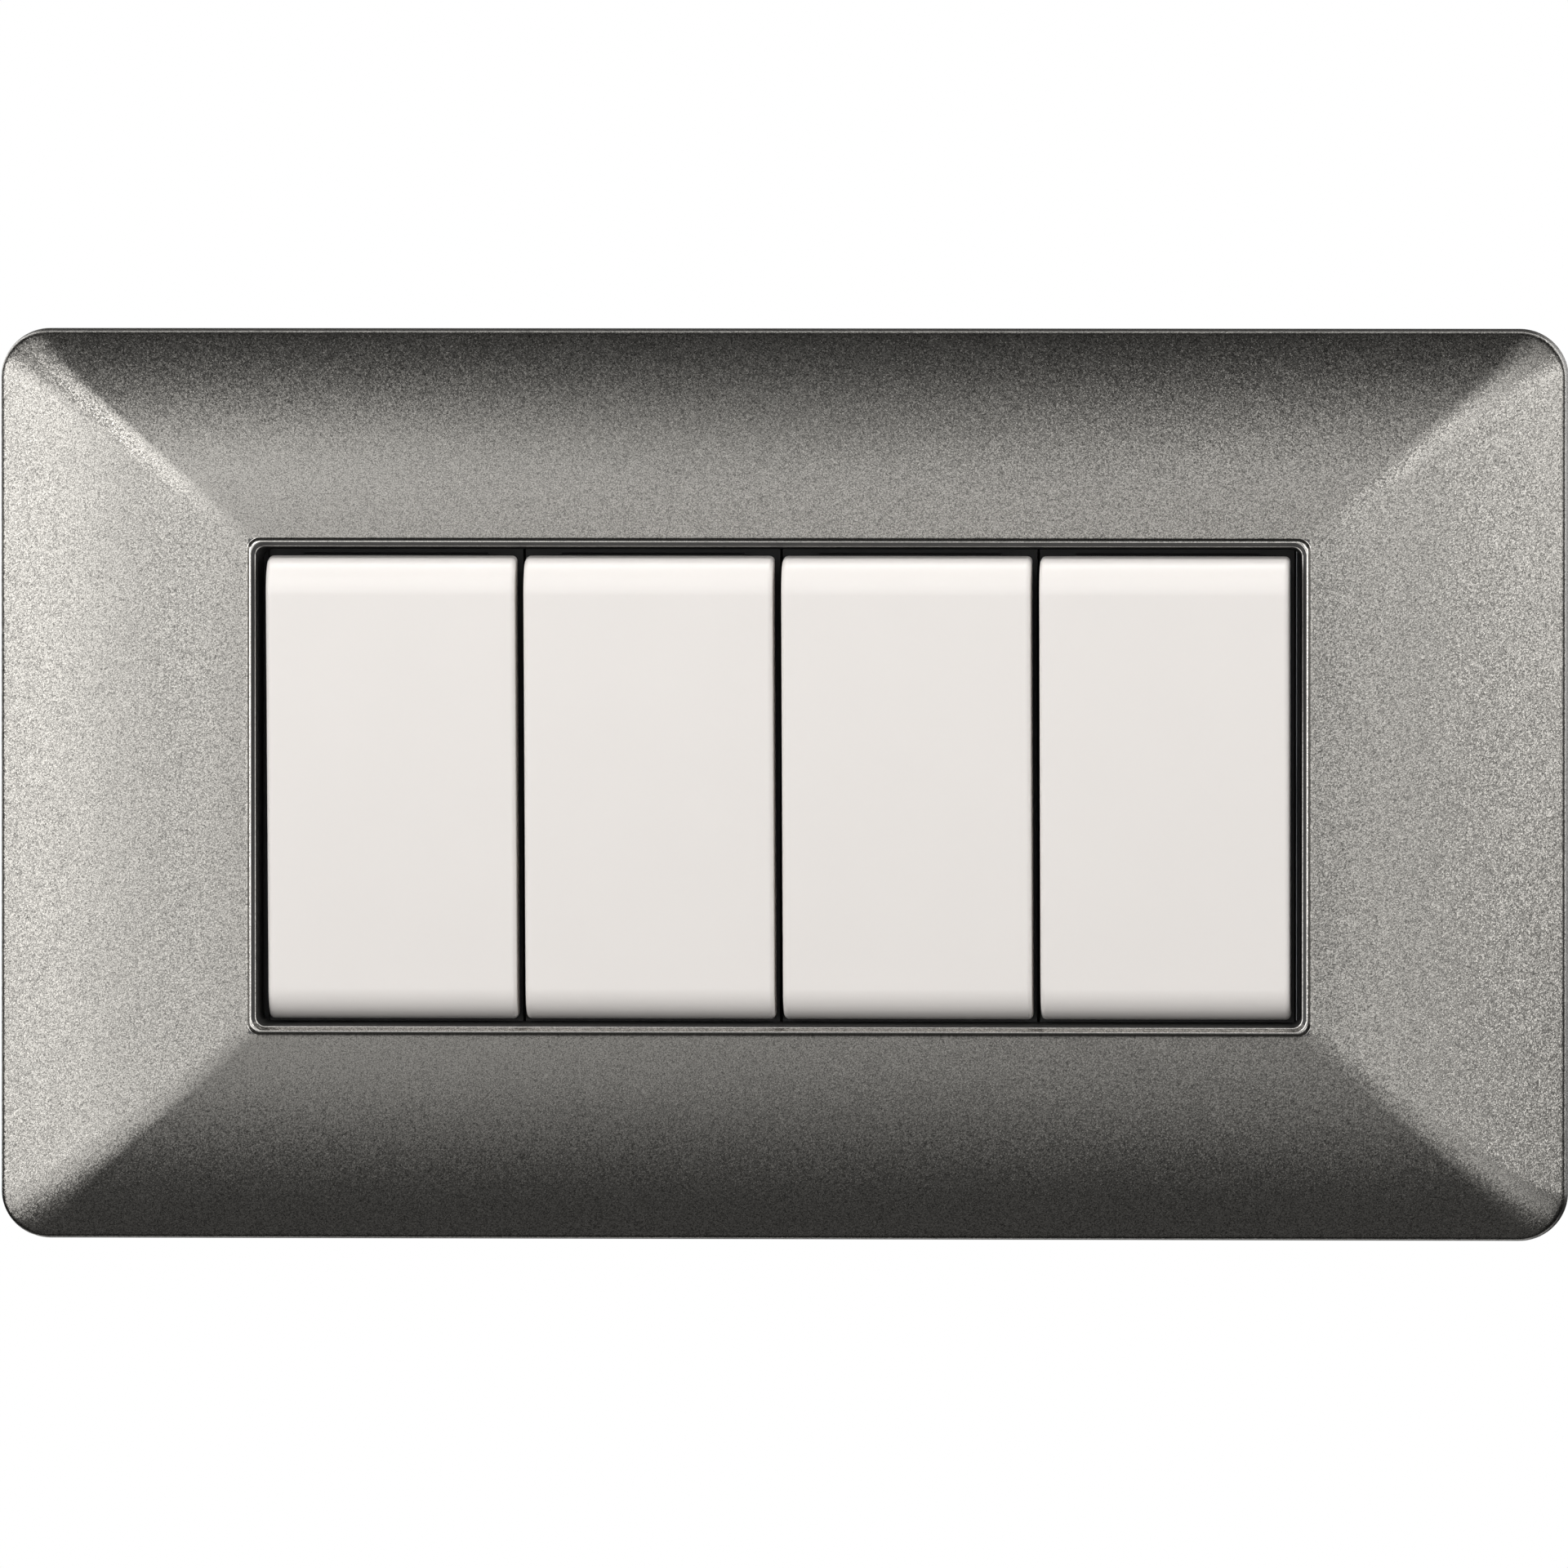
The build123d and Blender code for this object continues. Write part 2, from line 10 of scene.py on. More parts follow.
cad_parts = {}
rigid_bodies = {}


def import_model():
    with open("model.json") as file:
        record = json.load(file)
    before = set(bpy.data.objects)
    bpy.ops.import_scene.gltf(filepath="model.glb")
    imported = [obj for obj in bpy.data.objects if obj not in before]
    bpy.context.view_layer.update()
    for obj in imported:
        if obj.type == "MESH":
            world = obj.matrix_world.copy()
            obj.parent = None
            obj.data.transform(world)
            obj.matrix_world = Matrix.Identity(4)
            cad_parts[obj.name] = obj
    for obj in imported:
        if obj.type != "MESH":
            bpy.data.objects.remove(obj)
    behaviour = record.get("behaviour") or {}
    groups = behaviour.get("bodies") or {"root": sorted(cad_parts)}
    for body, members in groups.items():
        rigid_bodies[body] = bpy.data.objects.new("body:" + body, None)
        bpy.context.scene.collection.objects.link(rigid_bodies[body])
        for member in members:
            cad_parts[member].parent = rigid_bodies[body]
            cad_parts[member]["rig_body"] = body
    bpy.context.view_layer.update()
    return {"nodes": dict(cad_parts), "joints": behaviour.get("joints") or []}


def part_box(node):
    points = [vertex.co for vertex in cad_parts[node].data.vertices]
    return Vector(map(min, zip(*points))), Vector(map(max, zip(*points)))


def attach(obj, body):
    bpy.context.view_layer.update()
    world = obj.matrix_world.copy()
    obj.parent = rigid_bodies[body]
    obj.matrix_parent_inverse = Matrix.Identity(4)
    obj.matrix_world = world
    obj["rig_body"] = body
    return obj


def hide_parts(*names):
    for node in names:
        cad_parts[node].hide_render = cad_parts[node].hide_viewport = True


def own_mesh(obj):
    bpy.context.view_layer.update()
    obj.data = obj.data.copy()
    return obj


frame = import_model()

bl_info = {
    "name": "Switch plate looks",
    "version": (1, 0, 0),
    "blender": (4, 5, 0),
    "location": "3D View > Sidebar > Switch plate",
    "description": "Dresses the packed parts of a four-gang rocker switch with paint, plastic and metal",
    "category": "Object",
}

MM = 0.001

# What the frame gives
PLATE_LOW, PLATE_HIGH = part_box("trim_plate")
PLATE_WIDTH = PLATE_HIGH.x - PLATE_LOW.x
PLATE_HEIGHT = PLATE_HIGH.z - PLATE_LOW.z
CREST_LEVEL = -PLATE_LOW.y
JOINTS = {joint["name"]: joint for joint in frame["joints"]}
PIVOTS = [Vector(joint["pos_m"]) for name, joint in JOINTS.items() if name.startswith("rocker_")]
NUMBERS = range(1, len(PIVOTS) + 1)
SLIDE_AXIS = Vector(JOINTS["plunger_1_slide"]["axis"])
REST_TILT = math.atan2(-SLIDE_AXIS.z, -SLIDE_AXIS.y)
PIVOT_LEVEL = -PIVOTS[0].y
ROCKER_LOW, ROCKER_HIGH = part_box("rocker_1")
ROCKER_WIDTH = ROCKER_HIGH.x - ROCKER_LOW.x
ROW_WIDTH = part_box(f"rocker_{len(PIVOTS)}")[1].x - ROCKER_LOW.x
SCREW_LOW, SCREW_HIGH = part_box("frame_screws")
# Pieces are drawn face up, with z out of the wall, and then stood up against it
UPRIGHT = Matrix.Rotation(math.pi / 2, 4, "X")
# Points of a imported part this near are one, faces this level are one, and edges over this angle are sharp
WELD_DISTANCE = 0.002 * MM
LEVEL_DEGREES = 1
SHARP_DEGREES = 40
# Lengths this near are the same but for rounding
ROUNDING = 1e-7
# Places in the plate's list of finishes, after the faces' paint. The back's plastic is also painted shade on
# the rim's bevel where it faces sideways or down, and the lit sill is painted light, a lighter paint on the
# bevel where it faces up
RIM, BACK_AND_SHADED_BEVEL, LIT_SILL = 1, 2, 3


def length(name, description, millimetres):
    """A length property, written in millimetres and kept in metres."""
    return FloatProperty(name=name, description=description, default=millimetres * MM,
                         subtype="DISTANCE", unit="LENGTH", precision=5)


def angle(name, description, degrees):
    """An angle property, written in degrees and kept in radians."""
    return FloatProperty(name=name, description=description, default=math.radians(degrees),
                         subtype="ANGLE", unit="ROTATION")


def share(name, description, value):
    """A property from 0 to 1."""
    return FloatProperty(name=name, description=description, default=value, min=0.0, max=1.0,
                         subtype="FACTOR")


def tint(name, description, colour):
    """A colour property."""
    return FloatVectorProperty(name=name, description=description, default=colour, size=3,
                               min=0.0, max=1.0, subtype="COLOR")


class PlateSettings(bpy.types.PropertyGroup):
    """Sizes and paint of the trim plate."""
    corner: length("Corner", "Radius of the plate's corners at the wall", 4.3)
    edge_height: length("Edge height", "Height of the plate's side wall", 3.0)
    edge_draft: length("Edge draft", "How far the side wall leans in", 0.2)
    edge_round: length("Edge round", "Rounding between the side wall and a face", 0.4)
    face_rise: length("Face rise", "Rise of a face from the edge to the rim's foot", 6.3)
    face_crown: FloatProperty(name="Face crown", description="Bulge of a face, 1 is flat", default=1.71)
    rim_height: length("Rim height", "Height of the raised rim over the faces", 0.45)
    rim_flank: length("Rim flank", "Width of the rim's outer flank", 0.12)
    rim_shoulder: length("Rim shoulder", "Width of the slope from the rim's crest to its flank", 0.22)
    rim_slope: length("Rim slope", "Fall of the rim's shoulder", 0.11)
    rim_bevel: length("Rim bevel", "Width and depth of the bevel inside the rim", 0.4)
    rim_lip: length("Rim lip", "Width of the narrow lip inside the bevel", 0.09)
    rim_corner: length("Rim corner", "Radius of the rim's corners at its foot", 1.1)
    opening_corner: length("Opening corner", "Radius of the opening's corners", 0.85)
    opening_draft: length("Opening draft", "How far the opening's wall leans out", 0.3)
    side_gap: length("Side gap", "Gap between the row of rockers and the opening's sides", 0.775)
    end_gap: length("End gap", "Gap between the rockers' ends and the opening", 0.4)
    wall: length("Wall", "Thickness of the plate's wall", 1.8)
    skirt_wall: length("Skirt wall", "Thickness of the skirt round the opening", 1.6)
    skirt_end: length("Skirt end", "Level of the skirt's lower end over the wall", 4.3)
    rib: length("Rib", "Thickness of the ribs behind the plate", 1.0)
    rib_end: length("Rib end", "Level of the ribs' lower ends over the wall", 4.4)
    side_rib: length("Side rib", "Distance of the side ribs from the middle", 10.0)
    hook_spacing: length("Hook spacing", "Distance between the snap hooks' middles", 72.0)
    hook_width: length("Hook width", "Width of a snap hook", 7.0)
    hook_inner: length("Hook place", "Distance of a hook's inner face from the middle", 34.7)
    hook_thickness: length("Hook thickness", "Thickness of a snap hook", 1.3)
    hook_barb: length("Hook barb", "Reach of a hook's barb", 0.9)
    hook_barb_level: length("Barb level", "Level of the barb's catching face over the wall", 1.2)
    hook_barb_height: length("Barb height", "Height of the barb's slope", 0.8)
    hook_tip: length("Hook tip", "Level of a hook's tip over the wall", 0.2)
    paint: tint("Paint", "Colour of the metallic paint", (0.273, 0.263, 0.245))
    paint_roughness: share("Paint roughness", "Roughness of the paint", 0.29)
    # The rim's paint colour is also the painted light on the rim's bevel where it faces up
    rim_paint: tint("Rim paint", "Colour of the rim's smooth paint", (0.50, 0.485, 0.46))
    rim_roughness: share("Rim roughness", "Roughness of the rim's paint", 0.16)
    rim_contrast: share("Rim flake contrast", "How much the rim's flakes differ in brightness", 0.3)
    rim_tilt: share("Rim flake tilt", "How far the rim's flakes lean from the surface", 0.05)
    # The moulding colour is also the painted shade on the rim's bevel where it faces sideways or down
    moulding: tint("Moulding", "Colour of the bare plastic behind the plate", (0.045, 0.044, 0.043))
    flake: length("Flake", "Size of the paint's metal flakes", 0.1)
    flake_contrast: share("Flake contrast", "How much the flakes differ in brightness", 0.75)
    flake_tilt: share("Flake tilt", "How far the flakes lean from the surface", 0.14)


class RockerSettings(bpy.types.PropertyGroup):
    """Sizes and plastic of the rockers."""
    height: length("Height", "Height of a rocker up the wall", 40.5)
    face: length("Face", "Level of a level rocker's face over the wall", 10.9)
    depth: length("Depth", "Depth of a rocker's walls", 4.5)
    wall: length("Wall", "Thickness of a rocker's walls", 1.3)
    end_roll: length("End roll", "Radius of the rolled upper and lower ends", 3.0)
    edge_round: length("Edge round", "Radius of the other edges", 0.45)
    rib: length("Rib", "Thickness of a stiffening rib", 1.0)
    rib_depth: length("Rib depth", "Depth of a stiffening rib", 2.0)
    rib_offset: length("Rib offset", "Distance of the ribs from the pivot", 10.5)
    lug_outer: length("Lug place", "Distance of a lug's outer face from the middle", 7.675)
    lug_length: length("Lug length", "Length of a pivot lug", 3.6)
    lug_thickness: length("Lug thickness", "Thickness of a pivot lug", 1.8)
    lug_drop: length("Lug drop", "How far a lug reaches past the pivot", 1.7)
    pin_radius: length("Pin radius", "Radius of a pivot pin", 1.2)
    pin_end: length("Pin end", "Distance of a pin's end from the middle", 9.325)
    tower_width: length("Tower width", "Width of the plunger's tower", 5.2)
    tower_wall: length("Tower wall", "Thickness of the tower's walls", 0.85)
    tower_reach: length("Tower reach", "How far the tower reaches past the pivot", 7.0)
    tower_roof: length("Tower roof", "Thickness left over the tower's bore", 2.1)
    colour: tint("Colour", "Colour of the white plastic", (0.885, 0.845, 0.81))
    roughness: share("Roughness", "Roughness of the white plastic", 0.3)


class SwitchSettings(bpy.types.PropertyGroup):
    """Finishes of the frame and of what is behind the rockers."""
    frame_colour: tint("Frame colour", "Colour of the support frame", (0.035, 0.035, 0.037))
    carrier_colour: tint("Carrier colour", "Colour of the switches' fronts", (0.010, 0.0095, 0.009))
    base_colour: tint("Base colour", "Colour of the switch bases", (0.30, 0.31, 0.32))
    plunger_colour: tint("Plunger colour", "Colour of the plungers", (0.72, 0.69, 0.60))
    brass_colour: tint("Brass colour", "Colour of the contact strips", (0.80, 0.58, 0.26))
    steel_colour: tint("Steel colour", "Colour of the zinc-plated steel", (0.62, 0.63, 0.64))
    edge_round: length("Edge round", "Rounding of moulded edges", 0.15)
    strip_round: length("Strip round", "Rounding of stamped edges", 0.06)
    rib_place: length("Rib place", "Depth of a base's first spacer rib behind the wall's surface", 1.0)
    rib_thickness: length("Rib thickness", "Thickness of a spacer rib", 1.0)
    rib_reach: length("Rib reach", "Reach of a spacer rib beside the base", 0.15)
    rib_end: length("Rib end", "Distance of a spacer rib's ends from the base's ends", 0.8)


class ScrewSettings(bpy.types.PropertyGroup):
    """Sizes of the screws and springs."""
    thread_radius: length("Thread radius", "Outer radius of the fixing screws' thread", 1.75)
    thread_depth: length("Thread depth", "Depth of the fixing screws' thread", 0.42)
    thread_pitch: length("Thread pitch", "Pitch of the fixing screws' thread", 1.1)
    neck_radius: length("Neck radius", "Radius of the fixing screws' necks", 1.55)
    head_radius: length("Head radius", "Radius of the fixing screws' heads", 3.4)
    head_seat: length("Head seat", "Level of the heads' undersides over the wall", 2.4)
    terminal_radius: length("Terminal radius", "Outer radius of the terminal screws' thread", 1.5)
    terminal_depth: length("Terminal depth", "Depth of the terminal screws' thread", 0.26)
    terminal_pitch: length("Terminal pitch", "Pitch of the terminal screws' thread", 0.5)
    terminal_head_radius: length("Terminal head", "Radius of the terminal screws' heads", 2.6)
    terminal_head_height: length("Terminal head height", "Height of the terminal screws' heads", 1.8)
    recess_width: length("Recess width", "Width of the arms of a cross recess", 0.9)
    spring_wire: length("Spring wire", "Diameter of the plunger springs' wire", 0.5)
    spring_turns: FloatProperty(name="Spring turns", description="Turns of a plunger spring", default=3.5)
    segments: IntProperty(name="Segments", description="Segments round a screw", default=28, min=8)


class StageSettings(bpy.types.PropertyGroup):
    """Camera, backdrop and lamps."""
    azimuth: angle("Azimuth", "Camera's turn to the right", 3.0)
    elevation: angle("Elevation", "Camera's height over the horizon", 1.6)
    distance: FloatProperty(name="Distance", description="Camera's distance", default=2.4, unit="LENGTH")
    fill: share("Frame fill", "Share of the picture's width that the plate fills", 0.9992)
    backdrop: tint("Backdrop", "Colour of floor and backdrop", (1.0, 1.0, 1.0))
    ambient: tint("Ambient", "Light from everywhere", (0.01, 0.01, 0.01))
    light: FloatProperty(name="Light", description="Brightness of all lamps together", default=1.06, min=0.0)


GROUPS = {
    "switchplate_plate": PlateSettings,
    "switchplate_rocker": RockerSettings,
    "switchplate_switch": SwitchSettings,
    "switchplate_screw": ScrewSettings,
    "switchplate_stage": StageSettings,
}


# Meshes

def add_object(name, data):
    """A new object in the scene."""
    made = bpy.data.objects.new(name, data)
    bpy.context.scene.collection.objects.link(made)
    return made


def new_piece(name, bm):
    """A new object from a mesh under construction."""
    mesh = bpy.data.meshes.new(name)
    bm.to_mesh(mesh)
    bm.free()
    return add_object(name, mesh)


def skin(loops, ring=False):
    """Quads between loops of points. A ring joins the last loop to the first, and otherwise caps close it."""
    bm = bmesh.new()
    rows = [[bm.verts.new(point) for point in loop] for loop in loops]
    pairs = list(zip(rows, rows[1:]))
    if ring:
        pairs.append((rows[-1], rows[0]))
    else:
        bm.faces.new(rows[0])
        bm.faces.new(rows[-1])
    for low, high in pairs:
        for i in range(len(low)):
            bm.faces.new((low[i - 1], low[i], high[i], high[i - 1]))
    bmesh.ops.recalc_face_normals(bm, faces=bm.faces)
    return bm


def block(x, y, z):
    """A box between pairs of limits."""
    return skin([[(x[0], y[0], level), (x[1], y[0], level), (x[1], y[1], level), (x[0], y[1], level)]
                 for level in z])


def prism(outline, x_low, x_high):
    """A closed outline of (y, z) points drawn out along x."""
    return skin([[(x, y, z) for y, z in outline] for x in (x_low, x_high)])


def circle(radius, segments, level):
    """Points of a circle round the z axis."""
    turns = [math.tau * i / segments for i in range(segments)]
    return [(radius * math.cos(turn), radius * math.sin(turn), level) for turn in turns]


def rounded_loop(width, height, radius, level, cuts):
    """Points of a rounded rectangle round the z axis, as many whatever its size."""
    along_x, along_y, round_corner = cuts
    half_x = width / 2 - radius
    half_y = height / 2 - radius
    centres = [(half_x, half_y), (-half_x, half_y), (-half_x, -half_y), (half_x, -half_y)]
    arcs = []
    for quarter, (x, y) in enumerate(centres):
        turns = [(quarter + i / round_corner) * math.pi / 2 for i in range(round_corner + 1)]
        arcs.append([Vector((x + radius * math.cos(t), y + radius * math.sin(t), level)) for t in turns])
    loop = []
    for quarter, arc in enumerate(arcs):
        loop += arc
        after = arcs[(quarter + 1) % 4][0]
        cut = along_y if quarter % 2 else along_x
        loop += [arc[-1].lerp(after, i / cut) for i in range(1, cut)]
    return loop


def bend(start, corner, end, steps):
    """Outlines on a smooth curve from start to end that turns at a corner outline."""
    made = []
    for i in range(steps + 1):
        s = i / steps
        made.append(tuple((1 - s) ** 2 * a + 2 * s * (1 - s) * b + s * s * c
                          for a, b, c in zip(start, corner, end)))
    return made


def between(a, b, s):
    """The outline a share s of the way from one outline to another."""
    return tuple(u + s * (v - u) for u, v in zip(a, b))


def keep_modifiers(piece):
    """Keeps what a piece's modifiers make of its mesh."""
    bpy.context.view_layer.update()
    graph = bpy.context.evaluated_depsgraph_get()
    made = bpy.data.meshes.new_from_object(piece.evaluated_get(graph))
    old = piece.data
    piece.modifiers.clear()
    piece.data = made
    bpy.data.meshes.remove(old)


def combine(piece, bm, operation):
    """Joins a mesh to a piece with UNION, or cuts it out with DIFFERENCE."""
    tool = new_piece("tool", bm)
    for material in piece.data.materials:
        tool.data.materials.append(material)
    change = piece.modifiers.new("combine", "BOOLEAN")
    change.operation = operation
    change.solver = "EXACT"
    change.object = tool
    keep_modifiers(piece)
    mesh = tool.data
    bpy.data.objects.remove(tool)
    bpy.data.meshes.remove(mesh)


def shade(piece, sharp_degrees=SHARP_DEGREES):
    """Smooth shading with sharp edges over an angle, and flat faces that stay flat."""
    piece.data.shade_smooth()
    piece.data.set_sharp_from_angle(angle=math.radians(sharp_degrees))
    normals = piece.modifiers.new("normals", "WEIGHTED_NORMAL")
    normals.keep_sharp = True


def stand_for(piece, node):
    """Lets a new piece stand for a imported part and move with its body."""
    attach(piece, frame["nodes"][node]["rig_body"])
    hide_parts(node)


def dress(piece, material, node):
    """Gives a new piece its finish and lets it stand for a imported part."""
    piece.data.materials.append(material)
    stand_for(piece, node)


def dress_node(name, material, edge_round):
    """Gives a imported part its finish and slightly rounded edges."""
    part = frame["nodes"][name]
    part.data.materials.clear()
    part.data.materials.append(material)
    weld = part.modifiers.new("weld", "WELD")
    weld.merge_threshold = WELD_DISTANCE
    flat = part.modifiers.new("flat faces", "DECIMATE")
    flat.decimate_type = "DISSOLVE"
    flat.angle_limit = math.radians(LEVEL_DEGREES)
    edges = part.modifiers.new("edges", "BEVEL")
    edges.width = edge_round
    edges.segments = 2
    edges.limit_method = "ANGLE"
    edges.angle_limit = math.radians(SHARP_DEGREES)
    normals = part.modifiers.new("normals", "WEIGHTED_NORMAL")
    normals.keep_sharp = True


# Finishes

class Finish:
    """A material's nodes, with short ways to add and join them."""

    def __init__(self, name, colour, roughness, metallic=0.0):
        self.material = bpy.data.materials.new(name)
        self.material.use_nodes = True
        self.tree = self.material.node_tree
        self.shader = self.tree.nodes["Principled BSDF"]
        self.set("Base Color", (*colour, 1.0))
        self.set("Roughness", roughness)
        self.set("Metallic", metallic)
        self.place = self.add("ShaderNodeTexCoord").outputs["Object"]

    def set(self, socket, value):
        """Sets one of the shader's sockets, or joins an output to it."""
        self.put(self.shader.inputs[socket], value)

    def put(self, socket, value):
        """Joins an output to a socket, or sets the socket's own value."""
        if isinstance(value, bpy.types.NodeSocket):
            self.tree.links.new(value, socket)
        else:
            socket.default_value = value

    def add(self, kind, inputs=None, **settings):
        """A new node with settings and inputs by name or number."""
        node = self.tree.nodes.new(kind)
        for key, value in settings.items():
            setattr(node, key, value)
        for key, value in (inputs or {}).items():
            self.put(node.inputs[key], value)
        return node

    def noise(self, size, detail=3.0, stretch=None):
        """Noise of a size in metres, drawn out along an axis where stretch says so."""
        place = self.place
        if stretch:
            place = self.add("ShaderNodeMapping", {"Vector": place, "Scale": stretch}).outputs["Vector"]
        inputs = {"Vector": place, "Scale": 1 / size, "Detail": detail}
        return self.add("ShaderNodeTexNoise", inputs).outputs["Fac"]

    def spread(self, value, low, high, source=(0.25, 0.75)):
        """A value brought from the middle of a noise's range to a range of its own."""
        inputs = {"Value": value, "From Min": source[0], "From Max": source[1], "To Min": low, "To Max": high}
        return self.add("ShaderNodeMapRange", inputs).outputs["Result"]

    def mix(self, factor, first, second):
        """A colour between two colours."""
        # A mix has its sockets for numbers and vectors before those for colours, under the same names
        first_colour, second_colour, result_colour = 6, 7, 2
        inputs = {"Factor": factor, first_colour: first, second_colour: second}
        return self.add("ShaderNodeMix", inputs, data_type="RGBA").outputs[result_colour]

    def bump(self, height, depth):
        """A normal with a relief of a depth in metres."""
        inputs = {"Height": height, "Distance": depth, "Strength": 1.0}
        return self.add("ShaderNodeBump", inputs).outputs["Normal"]


def scaled(colour, factor):
    """A colour with alpha, made lighter or darker."""
    return (*(min(1.0, channel * factor) for channel in colour), 1.0)


def flake_paint(name, plate, colour, roughness, contrast, tilt):
    """Metallic paint: small flakes that lean and differ in brightness."""
    finish = Finish(name, colour, roughness, metallic=1.0)
    flakes = finish.add("ShaderNodeTexVoronoi", {"Vector": finish.place, "Scale": 1 / plate.flake})
    chance = flakes.outputs["Color"]
    # What a flake's random colour has over a middle grey is the way it leans
    grey = (0.5, 0.5, 0.5)
    lean = finish.add("ShaderNodeVectorMath", {0: chance, 1: grey}, operation="SUBTRACT").outputs[0]
    lean = finish.add("ShaderNodeVectorMath", {0: lean, "Scale": tilt}, operation="SCALE").outputs[0]
    surface = finish.add("ShaderNodeNewGeometry").outputs["Normal"]
    normal = finish.add("ShaderNodeVectorMath", {0: surface, 1: lean}, operation="ADD").outputs[0]
    finish.set("Normal", finish.add("ShaderNodeVectorMath", {0: normal}, operation="NORMALIZE").outputs[0])
    single = finish.add("ShaderNodeSeparateColor", {"Color": chance}).outputs["Red"]
    middle = finish.spread(flakes.outputs["Distance"], 1.0, 0.0, source=(0.1, 0.7))
    lightness = finish.add("ShaderNodeMix", {"Factor": 0.5, "A": single, "B": middle}).outputs["Result"]
    dull = scaled(colour, 1 - contrast)
    bright = scaled(colour, 1 + contrast)
    finish.set("Base Color", finish.mix(lightness, dull, bright))
    uneven = 0.01
    finish.set("Roughness", finish.spread(finish.noise(size=4 * MM), roughness - uneven, roughness + uneven))
    return finish.material


def moulded_plastic(name, colour, roughness, grain, depth, clouds=0.03):
    """Moulded plastic: fine grain, faint clouds of colour and uneven gloss."""
    finish = Finish(name, colour, roughness)
    cloud = finish.spread(finish.noise(size=6 * MM, detail=0.0), 0, 1, source=(0.1, 0.9))
    finish.set("Base Color", finish.mix(cloud, scaled(colour, 1 - clouds), scaled(colour, 1 + clouds)))
    gloss = finish.noise(size=1.5 * MM)
    finish.set("Roughness", finish.spread(gloss, roughness - clouds, roughness + clouds))
    finish.set("Normal", finish.bump(finish.noise(grain, detail=2.0), depth))
    return finish.material


def drawn_metal(name, colour, roughness, stretch):
    """Bare metal with fine drawn lines and a faint bloom."""
    finish = Finish(name, colour, roughness, metallic=1.0)
    lines = finish.noise(size=0.08 * MM, detail=2.0, stretch=stretch)
    bloom = finish.noise(size=2.2 * MM, detail=4.0)
    dull = scaled(colour, 0.82)
    bright = scaled(colour, 1.08)
    finish.set("Base Color", finish.mix(finish.spread(bloom, 0, 1), dull, bright))
    finish.set("Roughness", finish.spread(lines, roughness - 0.08, roughness + 0.12))
    finish.set("Normal", finish.bump(lines, depth=0.004 * MM))
    return finish.material


# Pieces

def face_outline(plate, t):
    """The plate's outline a share t of the way from its edge to the rim's foot."""
    edge_corner = plate.corner - plate.edge_draft
    foot = rim_outlines(plate)["foot"]
    width = PLATE_WIDTH - 2 * plate.edge_draft
    height = PLATE_HEIGHT - 2 * plate.edge_draft
    rise = plate.face_rise * (plate.face_crown * t - (plate.face_crown - 1) * t * t)
    # Part of the corner's radius shrinks evenly up to the rim, and the rest fast, beside the edge
    even = 0.4
    power = 6
    left = even * (1 - t) + (1 - even) * (1 - t) ** power
    corner = plate.rim_corner + (edge_corner - plate.rim_corner) * left
    return (width + t * (foot[0] - width), height + t * (foot[1] - height), corner, plate.edge_height + rise)


def opening_size(plate):
    """Width and height of the opening at its narrowest."""
    rocker_height = bpy.context.scene.switchplate_rocker.height
    return ROW_WIDTH + 2 * plate.side_gap, rocker_height + 2 * plate.end_gap


def rim_outlines(plate):
    """The outlines of the rim and of the opening's wall, by name."""
    width, height = opening_size(plate)
    edge = 2 * plate.opening_draft
    lip = edge + 2 * plate.rim_lip
    crest = edge + 2 * plate.rim_bevel
    shoulder = crest + 2 * plate.rim_shoulder
    foot = shoulder + 2 * plate.rim_flank
    foot_level = CREST_LEVEL - plate.rim_height
    shoulder_level = CREST_LEVEL - plate.rim_slope
    edge_level = CREST_LEVEL - plate.rim_bevel
    fall = edge / (edge_level - plate.skirt_end)
    back = edge - fall * edge_level
    corner = plate.opening_corner
    return {
        "foot": (width + foot, height + foot, plate.rim_corner, foot_level),
        "shoulder": (width + shoulder, height + shoulder, plate.rim_corner - plate.rim_flank, shoulder_level),
        "crest": (width + crest, height + crest, corner + plate.rim_bevel / 2, CREST_LEVEL),
        "lip": (width + lip, height + lip, corner + plate.rim_lip, edge_level),
        "edge": (width + edge, height + edge, corner, edge_level),
        "back": (width + back, height + back, corner, 0.0),
    }


def plate_outlines(plate):
    """The plate's outer form from the wall over the faces and the rim into the opening."""
    rim = rim_outlines(plate)
    wall = (PLATE_WIDTH, PLATE_HEIGHT, plate.corner, 0.0)
    edge = face_outline(plate, 0)
    face_width = (edge[0] - rim["foot"][0]) / 2
    start = plate.edge_round / face_width
    end = 1 - 1.2 * plate.rim_height / face_width
    bands = 40
    outlines = [wall, between(wall, edge, 0.5)]
    side_end = between(wall, edge, 1 - plate.edge_round / plate.edge_height)
    outlines += bend(side_end, edge, face_outline(plate, start), steps=6)
    outlines += [face_outline(plate, start + (end - start) * i / bands) for i in range(1, bands)]
    flank = between(rim["foot"], rim["shoulder"], 0.2)
    outlines += bend(face_outline(plate, end), rim["foot"], flank, steps=6)
    top = between(rim["shoulder"], rim["crest"], 0.5)
    outlines += bend(between(rim["foot"], rim["shoulder"], 0.25), rim["shoulder"], top, steps=6)
    outlines += bend(top, rim["crest"], between(rim["crest"], rim["lip"], 0.2), steps=5)[1:]
    ledge = between(rim["lip"], rim["edge"], 0.5)
    outlines += bend(between(rim["crest"], rim["lip"], 0.9), rim["lip"], ledge, steps=3)
    outlines += bend(ledge, rim["edge"], between(rim["edge"], rim["back"], 0.01), steps=4)[1:]
    return outlines + [rim["back"]]


